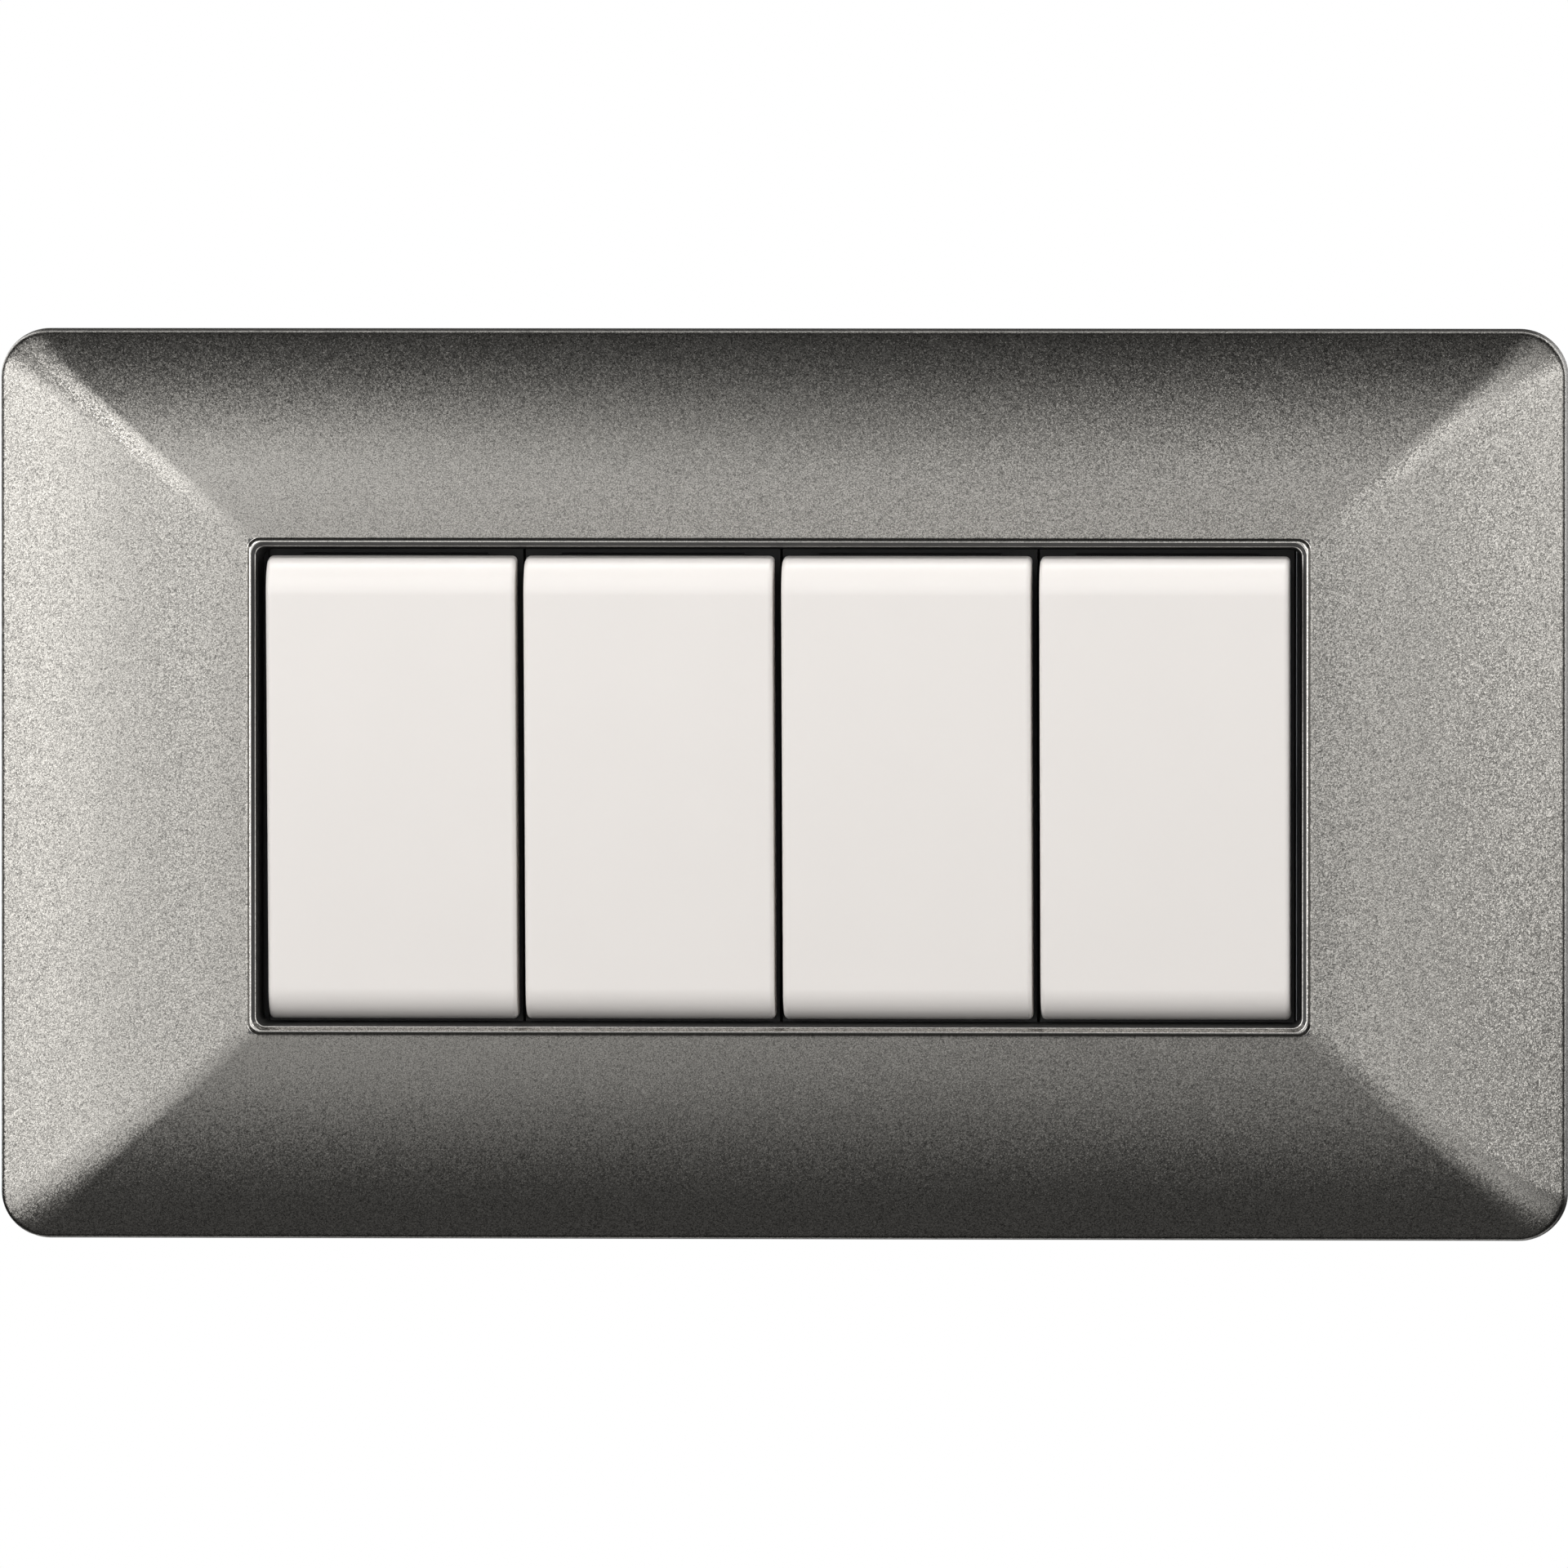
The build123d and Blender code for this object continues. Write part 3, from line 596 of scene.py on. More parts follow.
def hollow_loops(plate):
    """The space behind the plate's wall, as square-cornered outlines."""
    bands = 3
    below = -1 * MM
    levels = [face_outline(plate, i / bands) for i in range(bands + 1)]
    sizes = [(w / 2 - plate.wall, h / 2 - plate.wall, z - plate.wall) for w, h, _, z in levels]
    sizes.insert(0, (sizes[0][0], sizes[0][1], below))
    return [[(x, y, z), (-x, y, z), (-x, -y, z), (x, -y, z)] for x, y, z in sizes]


def plate_keepers(plate):
    """What stays in the hollow: skirt, ribs and snap hooks."""
    width, height = opening_size(plate)
    reach = plate.skirt_wall
    skirt_x = width / 2 + reach
    skirt_y = height / 2 + reach
    yield block((-skirt_x, skirt_x), (-skirt_y, skirt_y), (plate.skirt_end, CREST_LEVEL))
    half = plate.rib / 2
    rise = (plate.rib_end, CREST_LEVEL)
    for end in (-1, 1):
        for pivot in PIVOTS:
            span = sorted((end * (height / 2 + reach / 2), end * PLATE_HEIGHT / 2))
            yield block((pivot.x - half, pivot.x + half), span, rise)
        for side in (-1, 1):
            span = sorted((side * (width / 2 + reach / 2), side * PLATE_WIDTH / 2))
            middle = end * plate.side_rib
            yield block(span, (middle - half, middle + half), rise)
            yield snap_hook(plate, side * plate.hook_spacing / 2, end)


def snap_hook(plate, x, end):
    """One snap hook with its barb towards the middle."""
    inner = plate.hook_inner
    back = inner + plate.hook_thickness
    barb = plate.hook_barb_level
    outline = [(inner, CREST_LEVEL), (inner, barb), (inner - plate.hook_barb, barb),
               (inner, barb - plate.hook_barb_height), (inner, plate.hook_tip), (back, plate.hook_tip),
               (back, CREST_LEVEL)]
    half = plate.hook_width / 2
    return prism([(end * y, z) for y, z in outline], x - half, x + half)


def mark_rim(piece, plate):
    """Gives the rim its smooth paint, and the opening's wall the bare plastic of the back.
    The bevel inside the rim gets painted shade, the back's dark plastic, where it faces sideways or down, and
    painted light, a lighter paint of its own, on its lower side, which faces up."""
    rim = rim_outlines(plate)
    slack = 0.02 * MM
    steepest, flattest = 0.3, 0.9
    upward = 0.3
    for face in piece.data.polygons:
        corners = [piece.data.vertices[i].co for i in face.vertices]
        reach = max(max(abs(c.x) - rim["foot"][0] / 2, abs(c.y) - rim["foot"][1] / 2) for c in corners)
        if reach < slack:
            low = min(c.z for c in corners)
            inside = reach < (rim["crest"][0] - rim["foot"][0]) / 2 + slack
            bevel = inside and steepest < face.normal.z < flattest
            if low < rim["edge"][3] - 2 * slack:
                face.material_index = BACK_AND_SHADED_BEVEL
            elif bevel:
                # Painted light and shade: the bevel is lighter where it faces up and dark where it faces
                # sideways or down, as if lit from above
                face.material_index = BACK_AND_SHADED_BEVEL if face.normal.y < upward else LIT_SILL
            else:
                face.material_index = RIM


def trim_plate(plate, finishes):
    """The whole plate: outer form less the hollow, with what stands in it.
    Its finishes are those of the faces, the rim, the back and the rim's lower bevel. The back's dark plastic
    also stands as painted shade on the bevel where it faces sideways or down, and the lower bevel's lighter
    paint is painted light."""
    cuts = (48, 26, 18)
    loops = [rounded_loop(*outline, cuts) for outline in plate_outlines(plate)]
    piece = new_piece("painted_plate", skin(loops, ring=True))
    for finish in finishes:
        piece.data.materials.append(finish)
    mark_rim(piece, plate)
    hollow = new_piece("hollow", skin(hollow_loops(plate)))
    for keeper in plate_keepers(plate):
        combine(hollow, keeper, "DIFFERENCE")
    cutter = bmesh.new()
    cutter.from_mesh(hollow.data)
    for face in cutter.faces:
        face.material_index = BACK_AND_SHADED_BEVEL
    bpy.data.objects.remove(hollow)
    combine(piece, cutter, "DIFFERENCE")
    return piece


def near(a, b):
    """Whether two lengths are the same but for rounding."""
    return abs(a - b) < ROUNDING


def rocker_cap(rocker):
    """The rocker's outer form with rolled ends and rounded edges."""
    half_x = ROCKER_WIDTH / 2
    half_y = rocker.height / 2
    low = rocker.face - rocker.depth
    bm = block((-half_x, half_x), (-half_y, half_y), (low, rocker.face))
    top = [edge for edge in bm.edges if all(near(v.co.z, rocker.face) for v in edge.verts)]
    ends = [edge for edge in top if near(edge.verts[0].co.y, edge.verts[1].co.y)]
    bmesh.ops.bevel(bm, geom=ends, offset=rocker.end_roll, segments=14, profile=0.5, affect="EDGES")
    rims = [edge for edge in bm.edges
            if all(near(abs(v.co.x), half_x) for v in edge.verts)
            and near(edge.verts[0].co.x, edge.verts[1].co.x)
            and not all(near(v.co.z, low) for v in edge.verts)]
    bmesh.ops.bevel(bm, geom=rims, offset=rocker.edge_round, segments=5, profile=0.5, affect="EDGES")
    return bm


def half_pin(rocker, side):
    """A pivot pin with its front half cut away."""
    steps = 12
    radius = rocker.pin_radius
    turns = [math.pi + math.pi * i / steps for i in range(steps + 1)]
    outline = [(radius * math.cos(turn), PIVOT_LEVEL + radius * math.sin(turn)) for turn in turns]
    inner = rocker.lug_outer - rocker.lug_thickness / 2
    return prism(outline, *sorted((side * inner, side * rocker.pin_end)))


def level_rocker(rocker):
    """A rocker drawn level: cap, hollow, ribs, pivot lugs with pins and the plunger's tower."""
    low = rocker.face - rocker.depth
    ceiling = rocker.face - rocker.wall
    bite = rocker.wall / 2
    inner_x = ROCKER_WIDTH / 2 - rocker.wall
    inner_y = rocker.height / 2 - rocker.wall
    slope = rocker.end_roll - rocker.wall
    piece = new_piece("rocker", rocker_cap(rocker))
    hollow = [(-inner_y, low - bite), (inner_y, low - bite), (inner_y, ceiling - slope),
              (inner_y - slope, ceiling), (slope - inner_y, ceiling), (-inner_y, ceiling - slope)]
    combine(piece, prism(hollow, -inner_x, inner_x), "DIFFERENCE")
    across = (-inner_x - bite, inner_x + bite)
    half = rocker.rib / 2
    for end in (-1, 1):
        middle = end * rocker.rib_offset
        rib = block(across, (middle - half, middle + half), (ceiling - rocker.rib_depth, ceiling + bite))
        combine(piece, rib, "UNION")
        lug_x = sorted((end * (rocker.lug_outer - rocker.lug_thickness), end * rocker.lug_outer))
        lug_y = (-rocker.lug_length / 2, rocker.lug_length / 2)
        combine(piece, block(lug_x, lug_y, (PIVOT_LEVEL - rocker.lug_drop, ceiling + bite)), "UNION")
        combine(piece, half_pin(rocker, end), "UNION")
    half = rocker.tower_width / 2
    foot = PIVOT_LEVEL - rocker.tower_reach
    combine(piece, block((-half, half), (-half, half), (foot, ceiling + bite)), "UNION")
    half -= rocker.tower_wall
    bore = block((-half, half), (-half, half), (foot - bite, rocker.face - rocker.tower_roof))
    combine(piece, bore, "DIFFERENCE")
    return piece


def rest_place(pivot):
    """Takes a level piece of a switch to its place at rest, tilted about the rocker's pivot and upright."""
    hinge = Matrix.Translation((0, 0, PIVOT_LEVEL))
    tilt = hinge @ Matrix.Rotation(REST_TILT, 4, "X") @ hinge.inverted()
    return UPRIGHT @ Matrix.Translation((pivot.x, 0, 0)) @ tilt


def copies(piece, name):
    """One copy of a level piece for each switch, at rest, in place of the piece."""
    made = []
    for number, pivot in zip(NUMBERS, PIVOTS):
        mesh = piece.data.copy()
        mesh.transform(rest_place(pivot))
        made.append(add_object(f"{name}_{number}", mesh))
    bpy.data.objects.remove(piece)
    return made


def thread_loops(radius, depth, pitch, low, high, segments):
    """Loops of a screw thread from low to high, with its start run out."""
    rows_a_turn = 8
    flank = 2.4
    run_out = 1.5 * pitch
    rows = round((high - low) / pitch * rows_a_turn)
    loops = []
    for row in range(rows + 1):
        z = low + (high - low) * row / rows
        grown = min(1.0, (z - low) / run_out)
        loop = []
        for i in range(segments):
            turn = i / segments
            phase = ((z - low) / pitch - turn) % 1.0
            ridge = max(0.0, 1 - abs(phase - 0.5) * flank)
            size = radius - depth + depth * ridge * grown
            loop.append((size * math.cos(math.tau * turn), size * math.sin(math.tau * turn), z))
        loops.append(loop)
    return loops


def cross_recess(width, reach, floor, top):
    """The cutters of a cross recess that narrows towards its floor."""
    narrowed = 0.6
    for turn in (0, math.pi / 2):
        loops = []
        for scale, z in ((narrowed, floor), (1.0, top)):
            x = reach * scale
            y = width / 2 * scale
            loops.append([Matrix.Rotation(turn, 3, "Z") @ Vector(point)
                          for point in ((x, y, z), (-x, y, z), (-x, -y, z), (x, -y, z))])
        yield skin(loops)


def fixing_screw(screw):
    """A round-headed fixing screw: thread behind the wall, neck, domed head and cross recess."""
    n = screw.segments
    low = -SCREW_HIGH.y
    seat = screw.head_seat
    top = -SCREW_LOW.y
    tip = 0.6 * MM
    thread_end = -0.3 * MM
    edge = 0.1 * MM
    loops = [circle(0.6 * screw.thread_radius, n, low)]
    thread = (screw.thread_radius, screw.thread_depth, screw.thread_pitch)
    loops += thread_loops(*thread, low + tip, thread_end, n)
    loops += [circle(screw.neck_radius, n, 0.0), circle(screw.neck_radius, n, seat)]
    loops += [circle(screw.head_radius - edge, n, seat), circle(screw.head_radius, n, seat + edge)]
    dome = seat + 0.45 * (top - seat)
    dome_turn = 0.92 * math.pi / 2
    steps = 6
    for i in range(steps + 1):
        turn = i / steps * dome_turn
        radius = screw.head_radius * (0.35 + 0.65 * math.cos(turn))
        loops.append(circle(radius, n, dome + (top - dome) * math.sin(turn)))
    loops.append(circle(0.2 * screw.head_radius, n, top))
    piece = new_piece("fixing_screw", skin(loops))
    recess_floor = seat + 0.3 * MM
    recess_top = top + 0.2 * MM
    for cutter in cross_recess(screw.recess_width, 0.62 * screw.head_radius, recess_floor, recess_top):
        combine(piece, cutter, "DIFFERENCE")
    return piece


def terminal_screw(screw, high, low):
    """A terminal screw: head to the back with a slotted cross recess, and thread up to the terminal."""
    n = screw.segments
    head = low + screw.terminal_head_height
    radius = screw.terminal_head_radius
    depth = screw.terminal_depth
    chamfer = 0.25 * MM
    edge = 0.1 * MM
    tip = 0.3 * MM
    loops = [circle(0.4 * radius, n, low), circle(radius - chamfer, n, low), circle(radius, n, low + chamfer),
             circle(radius, n, head - edge), circle(radius - edge, n, head)]
    thread = thread_loops(screw.terminal_radius, depth, screw.terminal_pitch, head, high - tip, n)
    loops += [circle(screw.terminal_radius - depth, n, head + 0.01 * MM)] + thread[1:]
    loops.append(circle(0.7 * screw.terminal_radius, n, high))
    piece = new_piece("terminal_screw", skin(loops))
    for cutter in cross_recess(screw.recess_width, 0.6 * radius, floor=head - 0.5 * MM, top=low - 0.1 * MM):
        combine(piece, cutter, "DIFFERENCE")
    slot = 0.4 * MM
    slot_floor = low + 0.7 * MM
    slot_reach = 1.2 * radius
    slot_cutter = block((-slot_reach, slot_reach), (-slot, slot), (low - slot, slot_floor))
    combine(piece, slot_cutter, "DIFFERENCE")
    return piece


def spring_coil(screw, low, high, radius):
    """A round-wire coil between two levels round the z axis."""
    wire = screw.spring_wire / 2
    steps_a_turn = 28
    sides = 10
    steps = round(screw.spring_turns * steps_a_turn)
    up = Vector((0, 0, 1))
    loops = []
    for step in range(steps + 1):
        turn = math.tau * screw.spring_turns * step / steps
        out = Vector((math.cos(turn), math.sin(turn), 0))
        centre = radius * out + Vector((0, 0, low + wire + (high - low - 2 * wire) * step / steps))
        loops.append([centre + wire * (math.cos(a) * out + math.sin(a) * up)
                      for a in (math.tau * i / sides for i in range(sides))])
    return new_piece("coil", skin(loops))


def join_copies(name, piece, matrices):
    """One object from copies of a piece at several places, in place of the piece."""
    bm = bmesh.new()
    for matrix in matrices:
        mesh = piece.data.copy()
        mesh.transform(matrix)
        bm.from_mesh(mesh)
        bpy.data.meshes.remove(mesh)
    bpy.data.objects.remove(piece)
    bmesh.ops.recalc_face_normals(bm, faces=bm.faces)
    return new_piece(name, bm)


def spacer_ribs(number, material, switch):
    """Two upright ribs beside a switch base, at different depths, that keep light out between neighbours."""
    base = f"switch_base_{number}"
    low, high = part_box(base)
    reach = switch.rib_reach
    thickness = switch.rib_thickness
    rib = block((low.x - reach, low.x + reach), (switch.rib_place, switch.rib_place + thickness),
                (low.z + switch.rib_end, high.z - switch.rib_end))
    across = Matrix.Translation((high.x - low.x, 2 * thickness, 0))
    piece = join_copies(f"spacer_ribs_{number}", new_piece("rib", rib), (Matrix(), across))
    piece.data.materials.append(material)
    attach(piece, frame["nodes"][base]["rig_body"])


# Stage

LAMPS = {
    # name: (azimuth and elevation in degrees, distance, width and height in metres, brightness)
    "left": (-57, 8, 0.62, 0.40, 0.24, 3.85),
    "left_low": (-56, -16, 0.62, 0.40, 0.24, 1.9),
    "right": (56, 8, 0.62, 0.40, 0.24, 2.95),
    "front": (0, 3, 0.62, 0.27, 0.22, 1.0),
    "front_left": (-24, 3, 0.62, 0.27, 0.22, 2.4),
    "front_right": (24, 3, 0.62, 0.27, 0.22, 1.85),
    "front_high": (0, 24, 0.62, 0.27, 0.22, 1.25),
    "low": (0, -20, 0.62, 0.30, 0.20, 0.5),
    "low_left": (-26, -20, 0.62, 0.26, 0.20, 1.75),
    "low_right": (32, -20, 0.62, 0.34, 0.20, 1.3),
    "below": (0, -40, 0.62, 0.80, 0.20, 0.2),
    "floor": (0, -70, 0.62, 0.80, 0.30, 0.12),
    "near_left": (-16, 40, 0.30, 0.08, 0.10, 1.25),
    "near_right": (16, 40, 0.30, 0.08, 0.10, 1.1),
    "near_low_left": (-16, -36, 0.30, 0.08, 0.10, 0.3),
    "near_low_right": (16, -36, 0.30, 0.08, 0.10, 0.27),
    "corner_left": (-30, 28, 0.30, 0.08, 0.10, 3.6),
    "corner_right": (33, 25, 0.30, 0.08, 0.10, 2.0),
    "edge_left": (-46, 36, 0.30, 0.10, 0.10, 1.0),
    "edge_right": (46, 36, 0.30, 0.10, 0.10, 0.5),
    "streak_left": (-24, 17, 0.62, 0.09, 0.09, 6.5),
    "streak_right": (24, 17, 0.62, 0.09, 0.09, 4.0),
    "top": (0, 84, 0.50, 0.60, 0.10, 0.1),
    "rim_top": (0, 54, 0.50, 0.60, 0.02, 0.4),
    "rockers": (0, 12, 0.60, 0.80, 0.50, 0.36),
    "rocker_tops": (0, 100, 0.50, 0.60, 0.20, 3.0),
    "back_left": (-135, 20, 0.90, 0.80, 0.80, 2.0),
    "back_right": (135, 20, 0.90, 0.80, 0.80, 2.0),
    "back": (180, -40, 1.20, 1.60, 0.80, 0.6),
    "back_high": (180, 60, 0.90, 1.20, 0.60, 1.2),
}
# Lamps that shine on the rockers alone, and lamps that leave them out
ROCKER_LAMPS = ("rockers", "rocker_tops")
PLATE_LAMPS = ("left_low", "low", "low_left", "low_right", "below", "floor", "near_low_left",
               "near_low_right", "rim_top", "edge_left", "edge_right")


def direction(azimuth, elevation):
    """The direction from the object to a place round it; azimuth 0 is in front, and 90 to the right."""
    level = math.cos(elevation)
    return Vector((math.sin(azimuth) * level, -math.cos(azimuth) * level, math.sin(elevation)))


def add_lamp(name, light):
    """A softbox that faces the object, with a brightness of its own surface."""
    azimuth, elevation, distance, width, height, brightness = LAMPS[name]
    lamp = bpy.data.lights.new(f"softbox_{name}", "AREA")
    lamp.shape = "RECTANGLE"
    lamp.size = width
    lamp.size_y = height
    lamp.energy = light * brightness * math.pi * width * height
    softbox = add_object(lamp.name, lamp)
    way = direction(math.radians(azimuth), math.radians(elevation))
    softbox.location = way * distance
    softbox.rotation_euler = (-way).to_track_quat("-Z", "Y").to_euler()
    softbox.visible_camera = False
    return softbox


def rocker_group(name, state):
    """A collection that lets a lamp shine on the rockers alone, or on all but them."""
    group = bpy.data.collections.new(name)
    for number in NUMBERS:
        group.objects.link(bpy.data.objects[f"white_rocker_{number}"])
    for link in group.collection_objects:
        link.light_linking.link_state = state
    return group


def add_backdrop(stage):
    """A pale floor and backdrop all round, seen by the camera alone."""
    # Behind the camera of every view, and still near enough to be drawn
    size = 4 / 3 * stage.distance
    segments = 64
    backdrop = new_piece("backdrop", skin([circle(size, segments, -size), circle(size, segments, size)]))
    material = bpy.data.materials.new("pale_backdrop")
    material.use_nodes = True
    tree = material.node_tree
    tree.nodes.clear()
    glow = tree.nodes.new("ShaderNodeEmission")
    glow.inputs["Color"].default_value = (*stage.backdrop, 1.0)
    output = tree.nodes.new("ShaderNodeOutputMaterial")
    tree.links.new(glow.outputs["Emission"], output.inputs["Surface"])
    backdrop.data.materials.append(material)
    for ray in ("diffuse", "glossy", "transmission", "shadow"):
        setattr(backdrop, f"visible_{ray}", False)


def add_camera(stage):
    """A long-lens camera at the photograph's angle, with the plate across the picture."""
    way = direction(stage.azimuth, stage.elevation)
    data = bpy.data.cameras.new("camera")
    camera = add_object("camera", data)
    turn = (-way).to_track_quat("-Z", "Y")
    right = turn @ Vector((1, 0, 0))
    up = turn @ Vector((0, 1, 0))
    points = [vertex.co for vertex in frame["nodes"]["trim_plate"].data.vertices]
    across = [point.dot(right) for point in points]
    upward = [point.dot(up) for point in points]
    centre = (min(across) + max(across)) / 2 * right + (min(upward) + max(upward)) / 2 * up
    camera.location = centre + way * stage.distance
    camera.rotation_euler = turn.to_euler()
    data.sensor_width = 36.0
    data.lens = data.sensor_width * stage.distance / ((max(across) - min(across)) / stage.fill)
    data.clip_end = 10 * stage.distance
    bpy.context.scene.camera = camera


# Operators

class SWITCHPLATE_OT_plate(bpy.types.Operator):
    """Builds the painted trim plate with its soft ridges, raised rim, hollow back and snap hooks"""
    bl_idname = "switchplate.plate"
    bl_label = "Trim plate"

    def execute(self, context):
        plate = context.scene.switchplate_plate
        rough = (plate.paint_roughness, plate.flake_contrast, plate.flake_tilt)
        smooth = (plate.rim_roughness, plate.rim_contrast, plate.rim_tilt)
        paint = flake_paint("pewter_paint", plate, plate.paint, *rough)
        rim = flake_paint("bright_rim", plate, plate.rim_paint, *smooth)
        # The bare back's plastic, also painted shade on the rim's bevel where it faces sideways or down
        back = moulded_plastic("plate_moulding_and_bevel_shade", plate.moulding, roughness=0.5, grain=0.2 * MM,
                               depth=0.01 * MM)
        # Painted light: a lighter paint with the faces' flakes, on the rim's bevel where it faces up
        lit_sill = flake_paint("lit_sill_paint", plate, plate.rim_paint, *rough)
        piece = trim_plate(plate, (paint, rim, back, lit_sill))
        piece.data.transform(UPRIGHT)
        shade(piece)
        stand_for(piece, "trim_plate")
        return {"FINISHED"}


class SWITCHPLATE_OT_rockers(bpy.types.Operator):
    """Builds the white rockers with rolled ends and rounded edges"""
    bl_idname = "switchplate.rockers"
    bl_label = "Rockers"

    def execute(self, context):
        rocker = context.scene.switchplate_rocker
        white = moulded_plastic("white_plastic", rocker.colour, rocker.roughness, grain=0.25 * MM,
                                depth=0.0015 * MM, clouds=0.006)
        for number, piece in zip(NUMBERS, copies(level_rocker(rocker), "white_rocker")):
            shade(piece, sharp_degrees=50)
            dress(piece, white, f"rocker_{number}")
        return {"FINISHED"}


class SWITCHPLATE_OT_bodies(bpy.types.Operator):
    """Finishes the support frame, the carriers, the bases and the plungers"""
    bl_idname = "switchplate.bodies"
    bl_label = "Frame and switch bodies"

    def execute(self, context):
        switch = context.scene.switchplate_switch
        black = moulded_plastic("frame_plastic", switch.frame_colour, roughness=0.5, grain=0.16 * MM,
                                depth=0.012 * MM)
        dark = moulded_plastic("carrier_plastic", switch.carrier_colour, roughness=0.55, grain=0.2 * MM,
                               depth=0.008 * MM)
        grey = moulded_plastic("base_plastic", switch.base_colour, roughness=0.48, grain=0.22 * MM,
                               depth=0.012 * MM)
        nylon = moulded_plastic("plunger_nylon", switch.plunger_colour, roughness=0.38, grain=0.3 * MM,
                                depth=0.003 * MM)
        dress_node("support_frame", black, switch.edge_round)
        for number in NUMBERS:
            dress_node(f"switch_carrier_{number}", dark, switch.edge_round)
            dress_node(f"switch_base_{number}", grey, switch.edge_round)
            spacer_ribs(number, grey, switch)
            dress_node(f"plunger_{number}", nylon, switch.edge_round)
        return {"FINISHED"}


class SWITCHPLATE_OT_contacts(bpy.types.Operator):
    """Finishes the contact strips, the blades and the wire clamps"""
    bl_idname = "switchplate.contacts"
    bl_label = "Contacts and clamps"

    def execute(self, context):
        switch = context.scene.switchplate_switch
        brass = drawn_metal("strip_brass", switch.brass_colour, roughness=0.3, stretch=(1.0, 1.0, 0.06))
        steel = drawn_metal("clamp_steel", switch.steel_colour, roughness=0.34, stretch=(0.08, 1.0, 1.0))
        for number in NUMBERS:
            for name in ("common_terminal", "switched_terminal", "moving_contact"):
                dress_node(f"{name}_{number}", brass, switch.strip_round)
            dress_node(f"wire_clamps_{number}", steel, switch.strip_round)
        return {"FINISHED"}


class SWITCHPLATE_OT_screws(bpy.types.Operator):
    """Builds the fixing screws and the terminal screws with threads and recesses"""
    bl_idname = "switchplate.screws"
    bl_label = "Screws"

    def execute(self, context):
        screw = context.scene.switchplate_screw
        colour = context.scene.switchplate_switch.steel_colour
        zinc = drawn_metal("zinc_steel", colour, roughness=0.3, stretch=(1.0, 0.2, 1.0))
        middle = SCREW_HIGH.x - screw.head_radius
        places = [UPRIGHT @ Matrix.Translation((side * middle, 0, 0)) for side in (-1, 1)]
        piece = join_copies("zinc_fixing_screws", fixing_screw(screw), places)
        shade(piece, sharp_degrees=35)
        dress(piece, zinc, "frame_screws")
        for number, pivot in zip(NUMBERS, PIVOTS):
            low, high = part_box(f"terminal_screws_{number}")
            level = high.z - screw.terminal_head_radius
            places = [UPRIGHT @ Matrix.Translation((pivot.x, end * level, 0)) for end in (-1, 1)]
            single = terminal_screw(screw, -low.y, -high.y)
            piece = join_copies(f"zinc_terminal_screws_{number}", single, places)
            shade(piece, sharp_degrees=35)
            dress(piece, zinc, f"terminal_screws_{number}")
        return {"FINISHED"}


class SWITCHPLATE_OT_springs(bpy.types.Operator):
    """Builds the plungers' coil springs"""
    bl_idname = "switchplate.springs"
    bl_label = "Springs"

    def execute(self, context):
        screw = context.scene.switchplate_screw
        colour = context.scene.switchplate_switch.steel_colour
        wire = drawn_metal("spring_wire", colour, roughness=0.25, stretch=(1.0, 1.0, 0.3))
        part = frame["nodes"]["plunger_spring_1"]
        level = rest_place(PIVOTS[0]).inverted()
        points = [level @ vertex.co for vertex in part.data.vertices]
        low = min(point.z for point in points)
        high = max(point.z for point in points)
        radius = max(point.x for point in points) - screw.spring_wire / 2
        coils = copies(spring_coil(screw, low, high, radius), "steel_spring")
        for number, pivot, piece in zip(NUMBERS, PIVOTS, coils):
            shade(piece, sharp_degrees=60)
            dress(piece, wire, f"plunger_spring_{number}")
            anchor = rest_place(pivot) @ Vector((0, 0, high))
            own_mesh(piece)
        return {"FINISHED"}


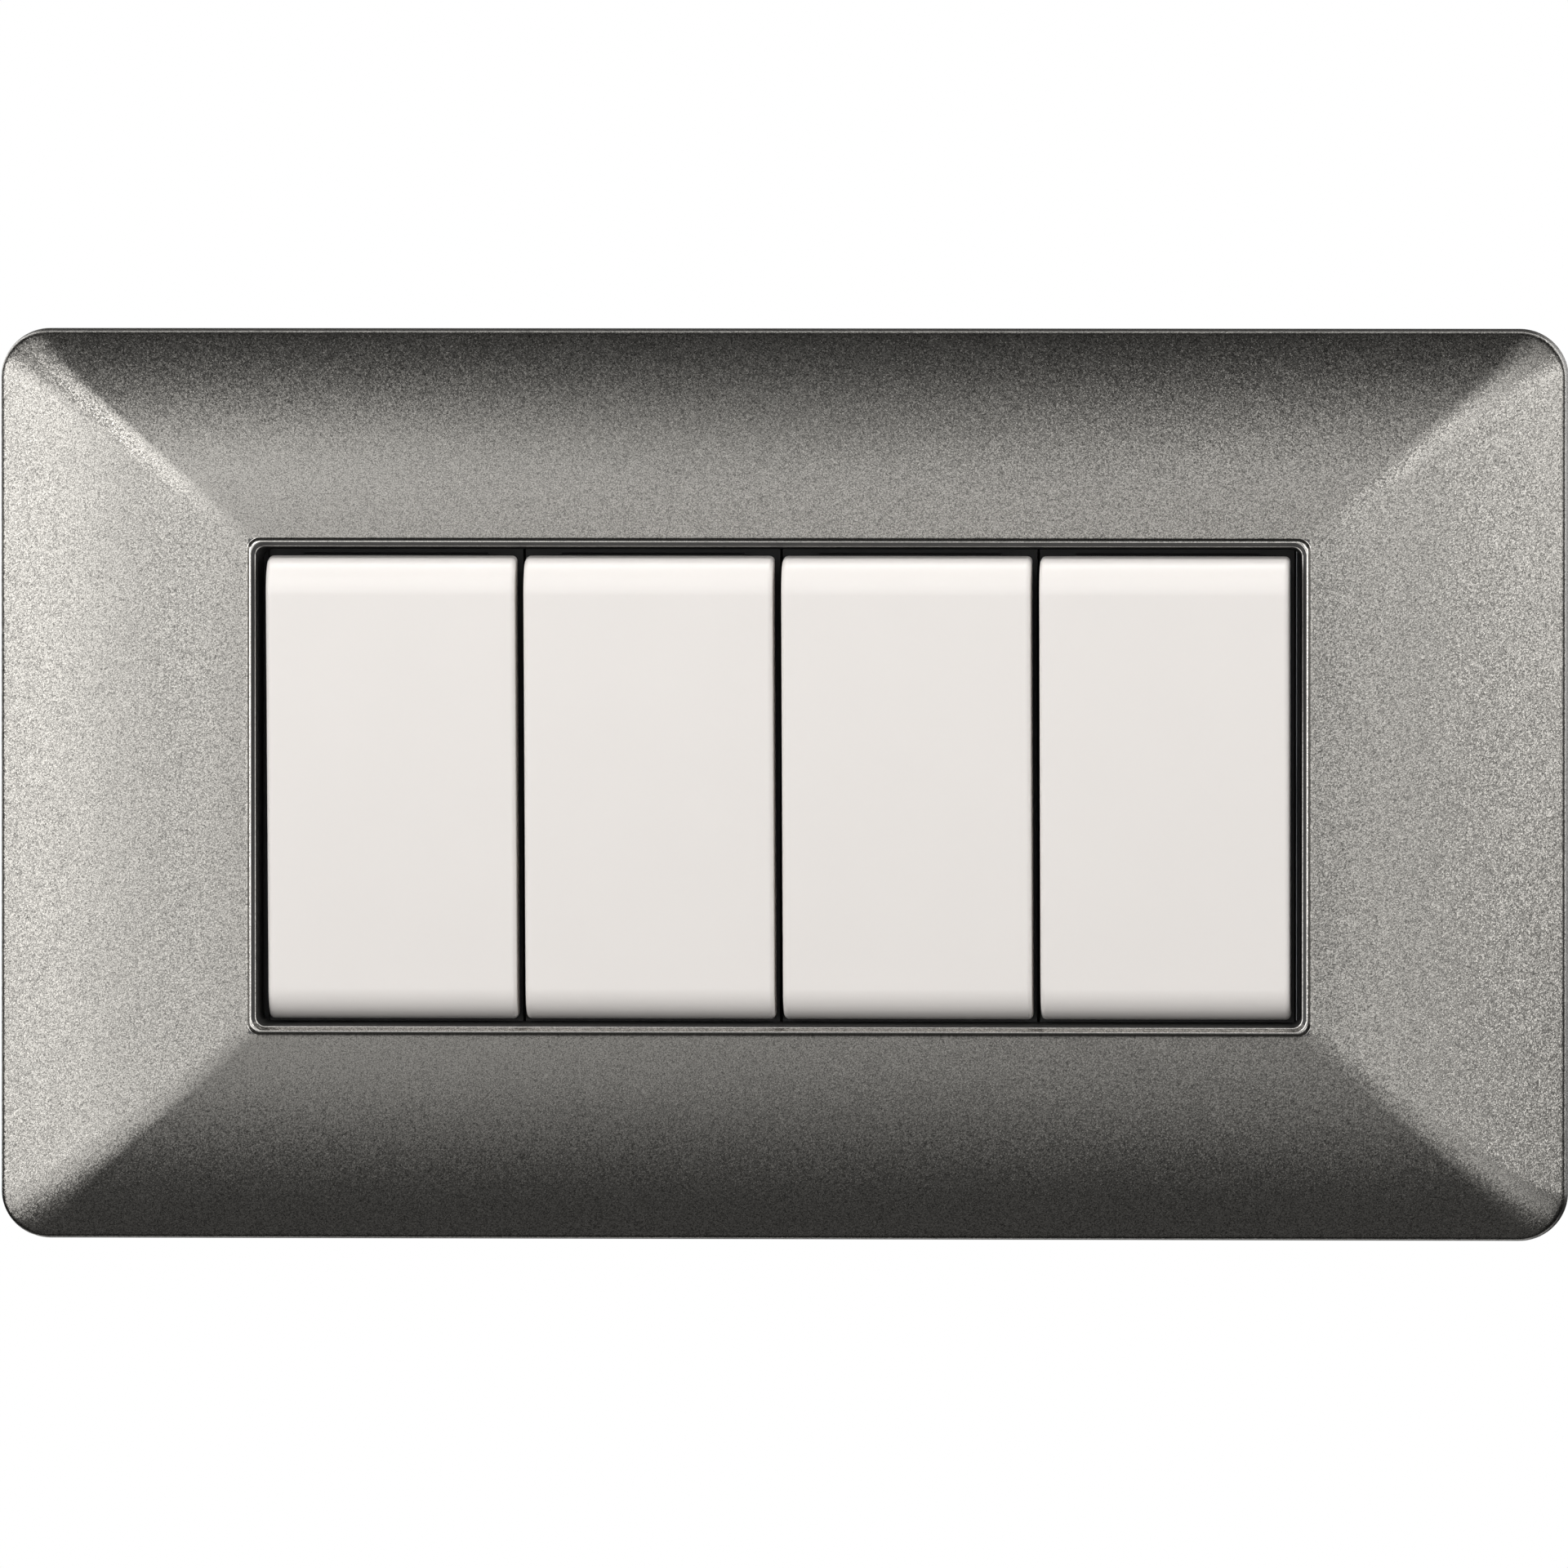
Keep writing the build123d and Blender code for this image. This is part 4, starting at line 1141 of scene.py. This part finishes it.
class SWITCHPLATE_OT_stage(bpy.types.Operator):
    """Sets up the pale backdrop, the softboxes and the camera"""
    bl_idname = "switchplate.stage"
    bl_label = "Stage"

    def execute(self, context):
        stage = context.scene.switchplate_stage
        world = bpy.data.worlds.new("soft_light")
        world.use_nodes = True
        world.node_tree.nodes["Background"].inputs["Color"].default_value = (*stage.ambient, 1.0)
        context.scene.world = world
        context.scene.view_settings.view_transform = "Standard"
        lamps = {name: add_lamp(name, stage.light) for name in LAMPS}
        rockers = rocker_group("only_rockers", "INCLUDE")
        others = rocker_group("all_but_rockers", "EXCLUDE")
        for name in ROCKER_LAMPS:
            lamps[name].light_linking.receiver_collection = rockers
        for name in PLATE_LAMPS:
            lamps[name].light_linking.receiver_collection = others
        add_backdrop(stage)
        add_camera(stage)
        return {"FINISHED"}


OPERATORS = (SWITCHPLATE_OT_plate, SWITCHPLATE_OT_rockers, SWITCHPLATE_OT_bodies, SWITCHPLATE_OT_contacts,
             SWITCHPLATE_OT_screws, SWITCHPLATE_OT_springs, SWITCHPLATE_OT_stage)


class SWITCHPLATE_PT_panel(bpy.types.Panel):
    """Lists the steps that dress the switch plate"""
    bl_idname = "SWITCHPLATE_PT_panel"
    bl_label = "Switch plate"
    bl_space_type = "VIEW_3D"
    bl_region_type = "UI"
    bl_category = "Switch plate"

    def draw(self, context):
        for operator in OPERATORS:
            self.layout.operator(operator.bl_idname)


CLASSES = (*GROUPS.values(), *OPERATORS, SWITCHPLATE_PT_panel)


def register():
    """Registers the classes and hangs the settings on the scene."""
    for item in CLASSES:
        bpy.utils.register_class(item)
    for name, group in GROUPS.items():
        setattr(bpy.types.Scene, name, PointerProperty(type=group))


def unregister():
    """Takes the settings and the classes away again."""
    for name in GROUPS:
        delattr(bpy.types.Scene, name)
    for item in reversed(CLASSES):
        bpy.utils.unregister_class(item)


def main():
    """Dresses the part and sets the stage."""
    register()
    bpy.ops.switchplate.plate()
    bpy.ops.switchplate.rockers()
    bpy.ops.switchplate.bodies()
    bpy.ops.switchplate.contacts()
    bpy.ops.switchplate.screws()
    bpy.ops.switchplate.springs()
    bpy.ops.switchplate.stage()


if __name__ == "__main__":
    main()
